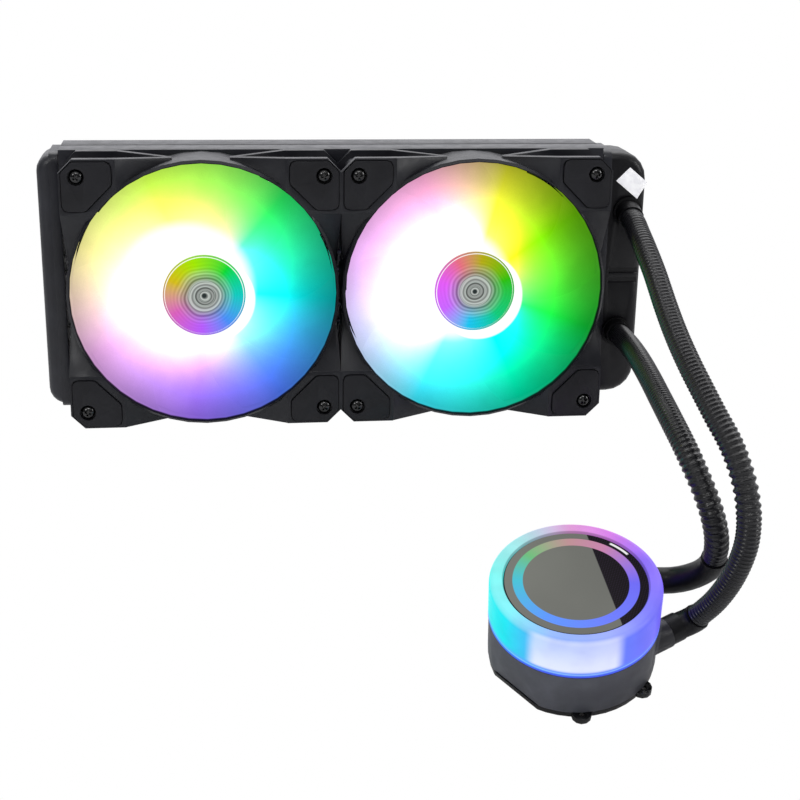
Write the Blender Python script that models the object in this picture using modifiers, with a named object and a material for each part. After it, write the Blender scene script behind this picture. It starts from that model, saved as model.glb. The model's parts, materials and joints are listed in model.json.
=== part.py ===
"""All in one liquid cooler for a processor: a finned radiator with two lit 120 mm fans, a round pump
block with a lit ring, and two hoses that join them.

Lengths below are in millimetres, and node() writes them in metres. +X is to the right, -Y is the side
of the fans and +Z is up. The origin is the middle of the lower side channel's rear face, at the height
of its screw holes.
"""

from math import atan2, cos, pi, radians, sin, tan, tau

import bmesh
import bpy
import numpy as np
from mathutils import Euler, Matrix, Vector

MM = 0.001

# General
GAP = 0.3  # clearance left between two pieces that touch
SMOOTH = 40.0  # degrees, faces that meet at less are shaded as one curve
WIDE = 44  # sides of the widest circles
MEDIUM = 32
NARROW = 20
SMALL = 12

# Radiator
DEPTH = 27.0
HOLE_EDGE = 7.5  # screw holes, from the edge of the radiator and of a fan
CORE_OVERHANG = 1.8  # the core reaches this far past the fans at each end
CORE_DEPTH = 20.0
CHANNEL_LEG = 13.0
CHANNEL_SHEET = 1.2
CHANNEL_LIP = 12.2
CHANNEL_REAR_LIP = 13.4
TUBE_COUNT = 12
TUBE_HEIGHT = 1.8
TUBE_BORE_HEIGHT = 0.9
TUBE_BORE_DEPTH = 17.0
FIN_PERIODS = 4
FIN_HALF_SHEET = 0.8
FIN_ROOT = 0.3
CORE_END_BAR = 1.2

# Header plates and tanks
HEADER_SHEET = 1.5
HEADER_RIM_DEPTH = 4.0
HEADER_RIM_SHEET = 0.8
HEADER_EDGE = 1.2  # the header stops this far inside the channel's edge
HEADER_CORNER = 5.0
HEADER_SLOT_HEIGHT = 1.0
END_TANK_LENGTH = 8.1
END_TANK_CORNER = 7.5
HOSE_TANK_LENGTH = 19.6
HOSE_TANK_CORNER = 13.0
TANK_WALL = 1.6
TANK_EDGE_ROUND = 4.0
GROOVE_TOPS = (56.2, 51.6)  # heights of two grooves in the hose tank's front
GROOVE_HEIGHT = 2.4
GROOVE_DEPTH = 0.8

# Port fittings on the radiator
PORT_FLANGE_RADIUS = 6.8
PORT_FLANGE = 1.6
PORT_SPIGOT_RADIUS = 4.0
PORT_SPIGOT_LENGTH = 2.4
SLEEVE_RADIUS = 5.9
SLEEVE_BORE = 3.0

# Fans
FAN_SIZE = 120.0
FAN_DEPTH = 25.0
FAN_PLATE = 3.8
FAN_CHAMFER = 6.0
FAN_WAIST = 1.2  # how far each side steps in between its corners
FAN_WAIST_START = 36.0
FAN_WAIST_END = 12.5
FAN_FLANGE_ROOT = 40.0  # the sloping flanges start this far out from the axis
FAN_FLANGE_END = 3.4  # depth of two flanges where they meet
FAN_FORK = 16.0  # where the gap between them ends, from the middle of the side
FAN_BORE_RADIUS = 58.0
FAN_BARREL_WALL = 1.4
FAN_BARREL_CHAMFER = 1.1
FAN_POST_RADIUS = 4.5
FAN_HOLE_RADIUS = 2.15
STRUT_WIDTH = 4.5
STRUT_THICK = 2.8
STRUT_TURN = 62.0  # degrees, direction of the first of four struts
MOTOR_BASE_RADIUS = 20.0
BEARING_TUBE_RADIUS = 4.4
BEARING_TUBE_TOP = 15.0
BEARING_FLOOR = 1.2
PAD_INSET = 1.2
PAD_LEG = 21.0
PAD_END = 9.6
PAD_CHAMFER = 4.6
PAD_THICK = 2.0
PAD_PROUD = 0.8
PAD_HOLE_RADIUS = 3.6

# Fan rotors
BLADE_COUNT = 9
BLADE_TIP_RADIUS = 57.0
BLADE_REAR = 5.6
BLADE_FRONT = 22.8
BLADE_THICK = 1.4
BLADE_ROOT_ARC = 56.0
BLADE_TIP_ARC = 64.0
BLADE_CAMBER = 1.8  # over 1, a blade is flatter at the front and steeper at the rear
BLADE_SWEEP = 16.0
HUB_RADIUS = 18.0
HUB_SKIRT_RADIUS = 21.5
HUB_INNER_RADIUS = 16.5
HUB_ROOF = 21.6
HUB_FRONT = 24.5
HUB_REAR = 5.0
CAP_RADIUS = 17.2
CAP_THICK = 0.8
SHAFT_RADIUS = 1.5
BEARING_BORE = 1.8
BEARING_LENGTH = 13.0
MAGNET_WALL = 1.6
STATOR_RADIUS = 13.5

# Fan screws
SCREW_HEAD_RADIUS = 3.1
SCREW_HEAD = 2.5
SCREW_RADIUS = 1.7
SCREW_TIP = -4.0  # past the fan's rear face
CHANNEL_HOLE_RADIUS = 2.0

# Pump block, heights from the underside of its cold plate
PUMP_BASE = (-30.6, -128.9, -91.5)  # X measured from the inner end of the hose tank
PUMP_FORWARD = 18.1  # degrees of lean towards the fan side
PUMP_LEAN = -4.4
PUMP_YAW = 19.0
COLD_PLATE_RADIUS = 30.0
COLD_PLATE_THICK = 3.0
COLD_FIN_COUNT = 14
COLD_FIN_PITCH = 2.2
COLD_FIN_LENGTH = 30.0
COLD_FIN_SHEET = 0.8
COLD_FIN_TOP = 5.2
BRACKET_TOP = 6.0
BRACKET_RADIUS = 35.4
BRACKET_OPENING = 27.3
LUG_CENTRE = 35.2
LUG_RADIUS = 4.2
LUG_HOLE = 1.1
LUG_HOLE_CENTRE = 36.2
LUG_TURN = 25.0  # degrees to each side of the front and of the rear
SEAL_WALL = 2.5
BODY_RADIUS = 35.8
BODY_TOP = 26.7
FACET_SLOPE = 10.0
FACET_DISTANCE = 33.0  # from the axis, at the underside of the body
FACET_DIRECTIONS = (-166.0, -14.0)
CHAMBER_RADIUS = 23.5
CHAMBER_TOP = 10.0
VOLUTE_RADIUS = 14.0
VOLUTE_TOP = 14.0
MOTOR_FLOOR = 16.5
MOTOR_RADIUS = 23.0
BOARD_SEAT = 24.4
BOARD_POCKET_RADIUS = 32.5
CAN_RADIUS = 9.0
CAN_WALL = 0.8
CAN_TOP = 24.0
CAN_FLANGE_RADIUS = 12.5
CAN_FLANGE = 1.7
RING_RADIUS = 36.0
RING_WALL = 2.7
RING_TOP = 46.8
RING_LIP_UNDER = 43.5
RING_LIP = 6.0
DISC_RADIUS = RING_RADIUS - RING_LIP
DISC_BOTTOM = 44.0
DISC_TOP = 46.0
GUIDE_RADII = (DISC_RADIUS - 8.3, DISC_RADIUS - 3.7)
GUIDE_TOP = 43.2

# Pump ports: start as (along, across, height), then direction and rise in degrees, before the yaw
FRONT_PORT = (34.0, -10.0, 18.5)
FRONT_PORT_TURN = 20.0
FRONT_PORT_RISE = 5.0
FRONT_BOSS_RADIUS = 6.6
FRONT_BOSS_END = 4.6
FRONT_BORE_END = -9.5
FRONT_STRAIGHT = 3.5
REAR_PORT = (30.0, 22.5, 21.0)
REAR_PORT_TURN = -10.0
REAR_PORT_RISE = 0.0
REAR_BOSS_RADIUS = 5.5
REAR_BOSS_END = 3.4
REAR_BORE_END = -17.6
REAR_STRAIGHT = 12.0
PORT_BORE = 2.7
COLLAR_RADIUS = 6.2
COLLAR_LENGTH = 6.0
CHANNEL_FOOT_RADIUS = 20.5

# Hoses, as points that their middle lines pass through, X measured from the inner end of the hose tank
HOSE_DIAMETER = 10.5
HOSE_STEP = 10.5
OUTER_ROUTE = (
    (11.0, -34.0, 81.1),
    (11.1, -40.3, 79.9),
    (10.9, -46.5, 77.8),
    (10.6, -60.5, 73.0),
    (11.1, -75.5, 65.5),
    (11.6, -92.5, 55.5),
    (12.6, -107.0, 46.8),
    (14.6, -119.5, 38.6),
    (17.6, -130.0, 30.4),
    (21.1, -139.0, 22.0),
    (25.1, -147.0, 13.5),
    (28.1, -153.0, 4.5),
    (30.3, -157.0, -5.0),
    (31.6, -159.0, -15.5),
    (31.6, -159.0, -26.0),
    (30.1, -157.0, -36.5),
    (27.6, -153.5, -47.0),
    (24.1, -148.8, -57.0),
    (19.7, -143.2, -66.0),
)
INNER_ROUTE = (
    (8.9, -33.5, 25.8),
    (8.8, -42.5, 26.0),
    (8.7, -54.0, 26.0),
    (8.5, -70.5, 24.7),
    (8.3, -88.5, 21.9),
    (8.5, -104.5, 18.0),
    (9.7, -117.5, 13.0),
    (12.1, -128.5, 6.2),
    (15.1, -136.5, -1.8),
    (18.6, -141.0, -10.5),
    (22.1, -142.5, -19.8),
    (25.1, -141.0, -29.0),
    (27.1, -137.6, -37.0),
    (28.1, -133.5, -44.0),
)

# Scene
for old in list(bpy.data.objects):
    bpy.data.objects.remove(old, do_unlink=True)
for old in list(bpy.data.collections):
    bpy.data.collections.remove(old)
parts = bpy.data.collections.new("liquid_cooler")
helpers = bpy.data.collections.new("helpers")
helpers.hide_render = True
bpy.context.scene.collection.children.link(parts)
bpy.context.scene.collection.children.link(helpers)


def material(name, colour, roughness, metallic=0.0):
    made = bpy.data.materials.new(name)
    made.use_nodes = True
    shader = made.node_tree.nodes["Principled BSDF"]
    shader.inputs["Base Color"].default_value = (*colour, 1.0)
    shader.inputs["Roughness"].default_value = roughness
    shader.inputs["Metallic"].default_value = metallic
    made.diffuse_color = (*colour, 1.0)
    return made


BLACK_PLASTIC = material("black_plastic", (0.018, 0.018, 0.020), 0.5)
BLACK_PAINT = material("black_paint", (0.022, 0.022, 0.025), 0.45, 0.3)
BLACK_RUBBER = material("black_rubber", (0.020, 0.020, 0.021), 0.7)
HOSE_SLEEVE = material("hose_sleeve", (0.022, 0.022, 0.024), 0.55)
BLACK_STEEL = material("black_steel", (0.03, 0.03, 0.03), 0.3, 1.0)
FROSTED = material("frosted_plastic", (0.82, 0.84, 0.86), 0.5)
DIFFUSER = material("diffuser_plastic", (0.86, 0.87, 0.90), 0.45)
MIRROR_PLASTIC = material("dark_gloss_plastic", (0.03, 0.03, 0.035), 0.08)
STEEL = material("steel", (0.55, 0.55, 0.56), 0.25, 1.0)
MAGNET = material("magnet_ferrite", (0.06, 0.06, 0.06), 0.6)
BRONZE = material("bronze", (0.55, 0.36, 0.16), 0.4, 1.0)
COPPER = material("copper", (0.72, 0.36, 0.22), 0.3, 1.0)
WINDING = material("winding_wire", (0.60, 0.26, 0.10), 0.4, 0.8)
BOARD = material("circuit_board", (0.015, 0.09, 0.04), 0.45)


def shape_from(bm):
    """Welds the bmesh, turns its faces outward and returns it as a mesh."""
    bmesh.ops.remove_doubles(bm, verts=bm.verts, dist=1e-4)
    bmesh.ops.dissolve_degenerate(bm, dist=1e-5, edges=bm.edges)
    bmesh.ops.recalc_face_normals(bm, faces=bm.faces)
    mesh = bpy.data.meshes.new("shape")
    bm.to_mesh(mesh)
    bm.free()
    return mesh


def circle(radius, steps, x=0.0, y=0.0):
    steps = round(steps)
    return [
        (x + radius * cos(tau * i / steps), y + radius * sin(tau * i / steps))
        for i in range(steps)
    ]


def rounded(corners, radii, steps=4):
    """The closed outline with an arc at each corner, of that corner's radius."""
    count = len(corners)
    outline = []
    for i, corner in enumerate(corners):
        radius = radii[i]
        if radius <= 0:
            outline.append(tuple(corner))
            continue
        here = Vector(corner)
        back = (Vector(corners[i - 1]) - here).normalized()
        ahead = (Vector(corners[(i + 1) % count]) - here).normalized()
        half = back.angle(ahead) / 2
        middle = here + (back + ahead).normalized() * (radius / sin(half))
        first = here + back * (radius / tan(half)) - middle
        last = here + ahead * (radius / tan(half)) - middle
        start = atan2(first.y, first.x)
        turn = (atan2(last.y, last.x) - start + pi) % tau - pi
        for step in range(steps + 1):
            angle = start + turn * step / steps
            outline.append((middle.x + radius * cos(angle), middle.y + radius * sin(angle)))
    return outline


def slab(outline, low, high):
    """A closed outline in XY, solid between two heights."""
    bm = bmesh.new()
    bottom = [bm.verts.new((x, y, low)) for x, y in outline]
    top = [bm.verts.new((x, y, high)) for x, y in outline]
    bm.faces.new(bottom[::-1])
    bm.faces.new(top)
    for i in range(len(outline)):
        j = (i + 1) % len(outline)
        bm.faces.new((bottom[i], bottom[j], top[j], top[i]))
    return shape_from(bm)


def box(x0, x1, y0, y1, z0, z1):
    return slab([(x0, y0), (x1, y0), (x1, y1), (x0, y1)], z0, z1)


def cylinder(radius, low, high, steps=MEDIUM, x=0.0, y=0.0):
    return slab(circle(radius, steps, x, y), low, high)


def turned(profile, steps):
    """A profile of (radius, height) points, closed, turned once round Z."""
    bm = bmesh.new()
    points = [bm.verts.new((radius, 0.0, height)) for radius, height in profile]
    lines = []
    for i, point in enumerate(points):
        following = points[(i + 1) % len(points)]
        if point.co.x == 0.0 and following.co.x == 0.0:
            continue
        lines.append(bm.edges.new((point, following)))
    bmesh.ops.spin(
        bm,
        geom=points + lines,
        cent=(0.0, 0.0, 0.0),
        axis=(0.0, 0.0, 1.0),
        angle=tau,
        steps=steps,
        use_merge=True,
    )
    return shape_from(bm)


def evaluated(data, modifiers=()):
    """The mesh of this data once its modifiers have run, with the object that held it removed."""
    holder = bpy.data.objects.new("holder", data)
    holder.hide_render = True
    holder.display_type = "WIRE"
    helpers.objects.link(holder)
    for kind, settings in modifiers:
        modifier = holder.modifiers.new(kind.title(), kind)
        for key, value in settings.items():
            setattr(modifier, key, value)
    bpy.context.view_layer.update()
    graph = bpy.context.evaluated_depsgraph_get()
    mesh = bpy.data.meshes.new_from_object(holder.evaluated_get(graph))
    bpy.data.objects.remove(holder, do_unlink=True)
    return mesh


def combined(base, tools, operation, self_check=False):
    """The base with each tool added to it, or cut from it, by an exact Boolean."""
    held = []
    for tool in tools:
        other = bpy.data.objects.new("tool", tool)
        other.hide_render = True
        other.display_type = "WIRE"
        helpers.objects.link(other)
        held.append(other)
    common = {"operation": operation, "solver": "EXACT", "use_self": self_check}
    settings = [("BOOLEAN", {**common, "object": other}) for other in held]
    mesh = evaluated(base, settings)
    for other in held:
        bpy.data.objects.remove(other, do_unlink=True)
    return mesh


def fused(base, *tools):
    return combined(base, tools, "UNION")


def cut(base, *tools):
    return combined(base, tools, "DIFFERENCE")


def together(meshes):
    """Separate closed shapes as one mesh, to cut or add them in one step."""
    bm = bmesh.new()
    for mesh in meshes:
        bm.from_mesh(mesh)
    joined = bpy.data.meshes.new("shape")
    bm.to_mesh(joined)
    bm.free()
    return joined


def moved(mesh, matrix):
    """A copy of the mesh under this matrix, its faces still outward after a mirroring one."""
    copy = mesh.copy()
    copy.transform(matrix)
    if matrix.to_3x3().determinant() < 0:
        copy.flip_normals()
    return copy


def along(mesh, start, direction):
    """The mesh with its Z axis laid along the direction, from the start."""
    turn = Vector((0.0, 0.0, 1.0)).rotation_difference(Vector(direction))
    return moved(mesh, Matrix.Translation(Vector(start)) @ turn.to_matrix().to_4x4())


def filled(loops, low, high):
    """A flat curve of outlines and holes, solid between two heights."""
    curve = bpy.data.curves.new("outline", "CURVE")
    curve.dimensions = "2D"
    curve.fill_mode = "BOTH"
    curve.extrude = (high - low) / 2
    for loop in loops:
        spline = curve.splines.new("POLY")
        spline.points.add(len(loop) - 1)
        spline.use_cyclic_u = True
        for point, (x, y) in zip(spline.points, loop):
            point.co = (x, y, 0.0, 1.0)
    bm = bmesh.new()
    bm.from_mesh(evaluated(curve))
    mesh = shape_from(bm)
    mesh.transform(Matrix.Translation((0.0, 0.0, (high + low) / 2)))
    return mesh


def swept(points, radius, resolution):
    """A round bar along the points, its ends closed."""
    curve = bpy.data.curves.new("path", "CURVE")
    curve.dimensions = "3D"
    curve.bevel_depth = radius
    curve.bevel_resolution = resolution
    curve.use_fill_caps = True
    curve.twist_mode = "MINIMUM"
    spline = curve.splines.new("POLY")
    spline.points.add(len(points) - 1)
    for point, place in zip(spline.points, points):
        point.co = (*place, 1.0)
    bm = bmesh.new()
    bm.from_mesh(evaluated(curve))
    return shape_from(bm)


def node(name, mesh, slot, parent=None):
    """A finished piece: its mesh in metres, its material, and smooth shading up to SMOOTH degrees."""
    mesh.name = name
    mesh.transform(Matrix.Scale(MM, 4))
    mesh.materials.clear()
    mesh.materials.append(slot)
    for polygon in mesh.polygons:
        polygon.material_index = 0
    mesh.shade_smooth()
    mesh.set_sharp_from_angle(angle=radians(SMOOTH))
    piece = bpy.data.objects.new(name, mesh)
    parts.objects.link(piece)
    piece.parent = parent
    return piece


def axis(name, matrix):
    """An empty that pieces hang from, its Z the axis that they turn on."""
    empty = bpy.data.objects.new(name, None)
    empty.empty_display_size = 0.02
    parts.objects.link(empty)
    placed = matrix.copy()
    placed.translation = matrix.translation * MM
    empty.matrix_world = placed
    return empty


def smooth_line(route, step):
    """Points every step along a smooth curve through the route."""
    knots = np.array(route) + np.array((TANK_X, 0.0, 0.0))
    ends = np.vstack([2 * knots[0] - knots[1], knots, 2 * knots[-1] - knots[-2]])
    fine = []
    for i in range(1, len(ends) - 2):
        before, here, ahead, after = ends[i - 1 : i + 3]
        for t in np.linspace(0.0, 1.0, 24, endpoint=False):
            fine.append(
                here
                + 0.5 * t * (ahead - before)
                + t * t * (before - 2.5 * here + 2.0 * ahead - 0.5 * after)
                + t**3 * (1.5 * (here - ahead) + 0.5 * (after - before))
            )
    fine.append(knots[-1])
    fine = np.array(fine)
    run = np.concatenate([[0.0], np.cumsum(np.linalg.norm(np.diff(fine, axis=0), axis=1))])
    count = int(round(run[-1] / step))
    wanted = np.linspace(0.0, run[-1], count + 1)
    return [tuple(float(np.interp(w, run, fine[:, k])) for k in range(3)) for w in wanted]


def heading(first, second):
    return (Vector(second) - Vector(first)).normalized()


# Lengths that follow from those above
HEIGHT = FAN_SIZE
CORE_LENGTH = 2 * FAN_SIZE + 2 * CORE_OVERHANG
REAR_Y = 0.0
FRONT_Y = -DEPTH
BOTTOM_Z = -HOLE_EDGE
TOP_Z = HEIGHT - HOLE_EDGE
MIDDLE_Z = (BOTTOM_Z + TOP_Z) / 2
CORE_BOTTOM = BOTTOM_Z + CHANNEL_LEG + GAP
CORE_TOP = TOP_Z - CHANNEL_LEG - GAP
CORE_HEIGHT = CORE_TOP - CORE_BOTTOM
FIN_ROW = (CORE_HEIGHT - TUBE_COUNT * TUBE_HEIGHT) / (TUBE_COUNT - 1)
TUBE_PITCH = TUBE_HEIGHT + FIN_ROW
TUBE_MIDDLES = [CORE_BOTTOM + TUBE_HEIGHT / 2 + i * TUBE_PITCH for i in range(TUBE_COUNT)]
HOLE_REACH = FAN_SIZE / 2 - HOLE_EDGE
HOLE_COLUMNS = (-FAN_SIZE + HOLE_EDGE, -HOLE_EDGE, HOLE_EDGE, FAN_SIZE - HOLE_EDGE)
HEADER_X = CORE_LENGTH / 2 + GAP
TANK_X = HEADER_X + HEADER_SHEET + GAP
TANK_SIDE = HEADER_RIM_SHEET + GAP
TANK_FRONT_Y = FRONT_Y + TANK_SIDE
FAN_Y = FRONT_Y - GAP
TO_FRONT = Matrix(((1, 0, 0, 0), (0, 0, -1, 0), (0, 1, 0, 0), (0, 0, 0, 1)))  # Z to -Y, Y to Z
TO_SIDE = Matrix(((0, 0, 1, 0), (1, 0, 0, 0), (0, 1, 0, 0), (0, 0, 0, 1)))  # X to Y, Y to Z, Z to X
MIRROR_X = Matrix.Scale(-1.0, 4, (1.0, 0.0, 0.0))
OUTER_LINE = smooth_line(OUTER_ROUTE, HOSE_STEP)
INNER_LINE = smooth_line(INNER_ROUTE, HOSE_STEP)


# Radiator core: flat tubes with rows of folded fin between them
def core():
    half = CORE_LENGTH / 2
    loops = [[(-half, CORE_BOTTOM), (half, CORE_BOTTOM), (half, CORE_TOP), (-half, CORE_TOP)]]
    left = -half + CORE_END_BAR
    pitch = (CORE_LENGTH - 2 * CORE_END_BAR) / FIN_PERIODS
    for row in range(TUBE_COUNT - 1):
        low = TUBE_MIDDLES[row] + TUBE_HEIGHT / 2 + FIN_ROOT
        high = low + FIN_ROW - 2 * FIN_ROOT
        for period in range(FIN_PERIODS):
            start = left + period * pitch
            middle = start + pitch / 2
            end = start + pitch
            loops.append(
                [(start + 2 * FIN_HALF_SHEET, low), (end - 2 * FIN_HALF_SHEET, low), (middle, high)]
            )
            edge = FIN_HALF_SHEET if period == 0 else 2 * FIN_HALF_SHEET
            last = FIN_HALF_SHEET if period == FIN_PERIODS - 1 else 0.0
            if period == 0:
                loops.append([(start + edge, low + 1.0), (middle - 2 * FIN_HALF_SHEET, high), (start + edge, high)])
            if last:
                loops.append([(end - last, low + 1.0), (end - last, high), (middle + 2 * FIN_HALF_SHEET, high)])
            else:
                loops.append(
                    [
                        (end, low),
                        (end + pitch / 2 - 2 * FIN_HALF_SHEET, high),
                        (middle + 2 * FIN_HALF_SHEET, high),
                    ]
                )
    body = moved(filled(loops, -CORE_DEPTH / 2, CORE_DEPTH / 2), TO_FRONT)
    body.transform(Matrix.Translation((0.0, -DEPTH / 2, 0.0)))
    bores = [
        box(
            -half - 1,
            half + 1,
            -DEPTH / 2 - TUBE_BORE_DEPTH / 2,
            -DEPTH / 2 + TUBE_BORE_DEPTH / 2,
            z - TUBE_BORE_HEIGHT / 2,
            z + TUBE_BORE_HEIGHT / 2,
        )
        for z in TUBE_MIDDLES
    ]
    return combined(body, [together(bores)], "DIFFERENCE", self_check=True)


def side_channel():
    """The lower side channel: a web on the core, two legs that hold the screw holes, and two lips."""
    web_top = BOTTOM_Z + CHANNEL_LEG
    web_low = web_top - CHANNEL_SHEET
    profile = [
        (REAR_Y, BOTTOM_Z),
        (REAR_Y, web_top),
        (FRONT_Y, web_top),
        (FRONT_Y, BOTTOM_Z),
        (FRONT_Y + CHANNEL_LIP, BOTTOM_Z),
        (FRONT_Y + CHANNEL_LIP, BOTTOM_Z + CHANNEL_SHEET),
        (FRONT_Y + CHANNEL_SHEET, BOTTOM_Z + CHANNEL_SHEET),
        (FRONT_Y + CHANNEL_SHEET, web_low),
        (REAR_Y - CHANNEL_SHEET, web_low),
        (REAR_Y - CHANNEL_SHEET, BOTTOM_Z + CHANNEL_SHEET),
        (REAR_Y - CHANNEL_REAR_LIP, BOTTOM_Z + CHANNEL_SHEET),
        (REAR_Y - CHANNEL_REAR_LIP, BOTTOM_Z),
    ]
    body = moved(slab(profile, -CORE_LENGTH / 2, CORE_LENGTH / 2), TO_SIDE)
    drills = [
        moved(cylinder(CHANNEL_HOLE_RADIUS, -1.0, DEPTH + 1.0, SMALL, x, 0.0), TO_FRONT)
        for x in HOLE_COLUMNS
    ]
    return cut(body, together(drills))


def header():
    """The right header plate: a pan that holds the tank's foot, with a slot at each tube."""
    low = BOTTOM_Z + HEADER_EDGE
    high = TOP_Z - HEADER_EDGE
    corners = [(FRONT_Y, low), (REAR_Y, low), (REAR_Y, high), (FRONT_Y, high)]
    body = slab(rounded(corners, [HEADER_CORNER] * 4), HEADER_X, HEADER_X + HEADER_RIM_DEPTH)
    rim = HEADER_RIM_SHEET
    inner = [
        (FRONT_Y + rim, low + rim),
        (REAR_Y - rim, low + rim),
        (REAR_Y - rim, high - rim),
        (FRONT_Y + rim, high - rim),
    ]
    pocket = slab(
        rounded(inner, [HEADER_CORNER - rim] * 4),
        HEADER_X + HEADER_SHEET,
        HEADER_X + HEADER_RIM_DEPTH + 1.0,
    )
    slots = [
        slab(
            [
                (-DEPTH / 2 - TUBE_BORE_DEPTH / 2, z - HEADER_SLOT_HEIGHT / 2),
                (-DEPTH / 2 + TUBE_BORE_DEPTH / 2, z - HEADER_SLOT_HEIGHT / 2),
                (-DEPTH / 2 + TUBE_BORE_DEPTH / 2, z + HEADER_SLOT_HEIGHT / 2),
                (-DEPTH / 2 - TUBE_BORE_DEPTH / 2, z + HEADER_SLOT_HEIGHT / 2),
            ],
            HEADER_X - 1.0,
            HEADER_X + HEADER_SHEET + 1.0,
        )
        for z in TUBE_MIDDLES
    ]
    return moved(cut(body, pocket, together(slots)), TO_SIDE)


def tank(length, corner):
    """A tank on the right: hollow, open towards its header, its outer edges rounded."""
    low = BOTTOM_Z + HEADER_EDGE + TANK_SIDE
    high = TOP_Z - HEADER_EDGE - TANK_SIDE
    end = TANK_X + length
    near = TANK_SIDE
    far = DEPTH - TANK_SIDE
    corners = [(TANK_X, low), (end, low), (end, high), (TANK_X, high)]
    outer = slab(rounded(corners, [0.0, corner, corner, 0.0], 5), near, far)
    bm = bmesh.new()
    bm.from_mesh(outer)
    rims = [
        edge
        for edge in bm.edges
        if abs(edge.verts[0].co.z - edge.verts[1].co.z) < 1e-6
        and max(edge.verts[0].co.x, edge.verts[1].co.x) > TANK_X + 1e-3
    ]
    bmesh.ops.bevel(
        bm,
        geom=rims,
        offset=TANK_EDGE_ROUND,
        segments=3,
        profile=0.5,
        affect="EDGES",
        clamp_overlap=True,
    )
    outer = shape_from(bm)
    wall = TANK_WALL
    inner = [
        (TANK_X - 1.0, low + wall),
        (end - wall, low + wall),
        (end - wall, high - wall),
        (TANK_X - 1.0, high - wall),
    ]
    radii = [0.0, corner - wall, corner - wall, 0.0]
    hollow = slab(rounded(inner, radii, 4), near + wall, far - wall)
    return moved(cut(outer, hollow), TO_FRONT)


def port_centre(line):
    """Where the sleeve that meets this hose leaves the front of the hose tank."""
    start = Vector(line[0])
    direction = heading(line[0], line[1])
    return start - direction * ((start.y - TANK_FRONT_Y) / direction.y)


def port_fitting(line):
    """A flanged fitting on the hose tank, its sleeve pointed down the start of the hose."""
    start = Vector(line[0])
    direction = heading(line[0], line[1])
    centre = port_centre(line)
    face = TANK_FRONT_Y - GAP
    front = Vector((0.0, -1.0, 0.0))
    flange = along(
        cylinder(PORT_FLANGE_RADIUS, 0.0, PORT_FLANGE, NARROW), (centre.x, face, centre.z), front
    )
    spigot = along(
        cylinder(PORT_SPIGOT_RADIUS, 0.0, PORT_SPIGOT_LENGTH, SMALL),
        (centre.x, face + PORT_SPIGOT_LENGTH - 0.5, centre.z),
        front,
    )
    root = centre - direction * 3.0
    length = (start - root).length - GAP
    sleeve = along(cylinder(SLEEVE_RADIUS, 0.0, length, NARROW), root, direction)
    behind = box(centre.x - 20.0, centre.x + 20.0, face, face + 20.0, centre.z - 20.0, centre.z + 20.0)
    sleeve = cut(sleeve, moved(behind, Matrix.Translation((0.0, -0.5, 0.0))))
    bore = along(
        cylinder(SLEEVE_BORE, 0.0, length + 12.0, SMALL), centre - direction * 6.0, direction
    )
    return cut(fused(flange, spigot, sleeve), bore)


# Fans, in a frame with Z from the rear face to the front
def fan_outline():
    half = FAN_SIZE / 2
    side = [
        (-half + FAN_CHAMFER, half),
        (-FAN_WAIST_START, half),
        (-FAN_WAIST_END, half - FAN_WAIST),
        (FAN_WAIST_END, half - FAN_WAIST),
        (FAN_WAIST_START, half),
        (half - FAN_CHAMFER, half),
    ]
    outline = []
    for quarter in range(4):
        turn = -pi / 2 * quarter
        outline += [(x * cos(turn) - y * sin(turn), x * sin(turn) + y * cos(turn)) for x, y in side]
    return outline


CORNERS = {
    "top_left": (-1.0, 1.0),
    "top_right": (1.0, 1.0),
    "bottom_left": (-1.0, -1.0),
    "bottom_right": (1.0, -1.0),
}


def pad_outline(side, height, grow):
    outer = FAN_SIZE / 2 - PAD_INSET + grow
    end = FAN_SIZE / 2 - PAD_INSET - PAD_LEG - grow
    inner = FAN_SIZE / 2 - PAD_INSET - PAD_END - grow
    corners = [
        (end, outer),
        (outer - PAD_CHAMFER, outer),
        (outer, outer - PAD_CHAMFER),
        (outer, end),
        (inner, end),
        (end, inner),
    ]
    radii = [2.5, 1.5, 1.5, 2.5, 2.5, 2.5]
    return [(x * side, y * height) for x, y in rounded(corners, radii, 2)]


def fan_flanges(outline):
    """The frame's sloping flanges: on each side, two forks that lead from the corners to mid depth."""
    start = FAN_WAIST_START + 0.5
    middle = FAN_DEPTH / 2
    inset = 0.02  # keeps the flanges just inside the corner plates that they join
    fork = [
        (start, FAN_DEPTH - inset),
        (FAN_WAIST_END, middle + FAN_FLANGE_END / 2),
        (FAN_WAIST_END, middle - FAN_FLANGE_END / 2),
        (start, inset),
        (start, FAN_PLATE - inset),
        (FAN_FORK, middle),
        (start, FAN_DEPTH - FAN_PLATE + inset),
    ]
    share = 1.0 - 2 * inset / FAN_SIZE
    inside = [(x * share, y * share) for x, y in outline]
    mirrored = [(-x, z) for x, z in fork]
    forks = []
    for shape in (fork, mirrored):
        for k in range(4):
            body = moved(slab(shape, -FAN_SIZE, -FAN_FLANGE_ROOT), TO_FRONT)
            forks.append(moved(body, Matrix.Rotation(k * pi / 2, 4, "Z")))
    return combined(together(forks), [slab(inside, -1.0, FAN_DEPTH + 1.0)], "INTERSECT")


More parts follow.
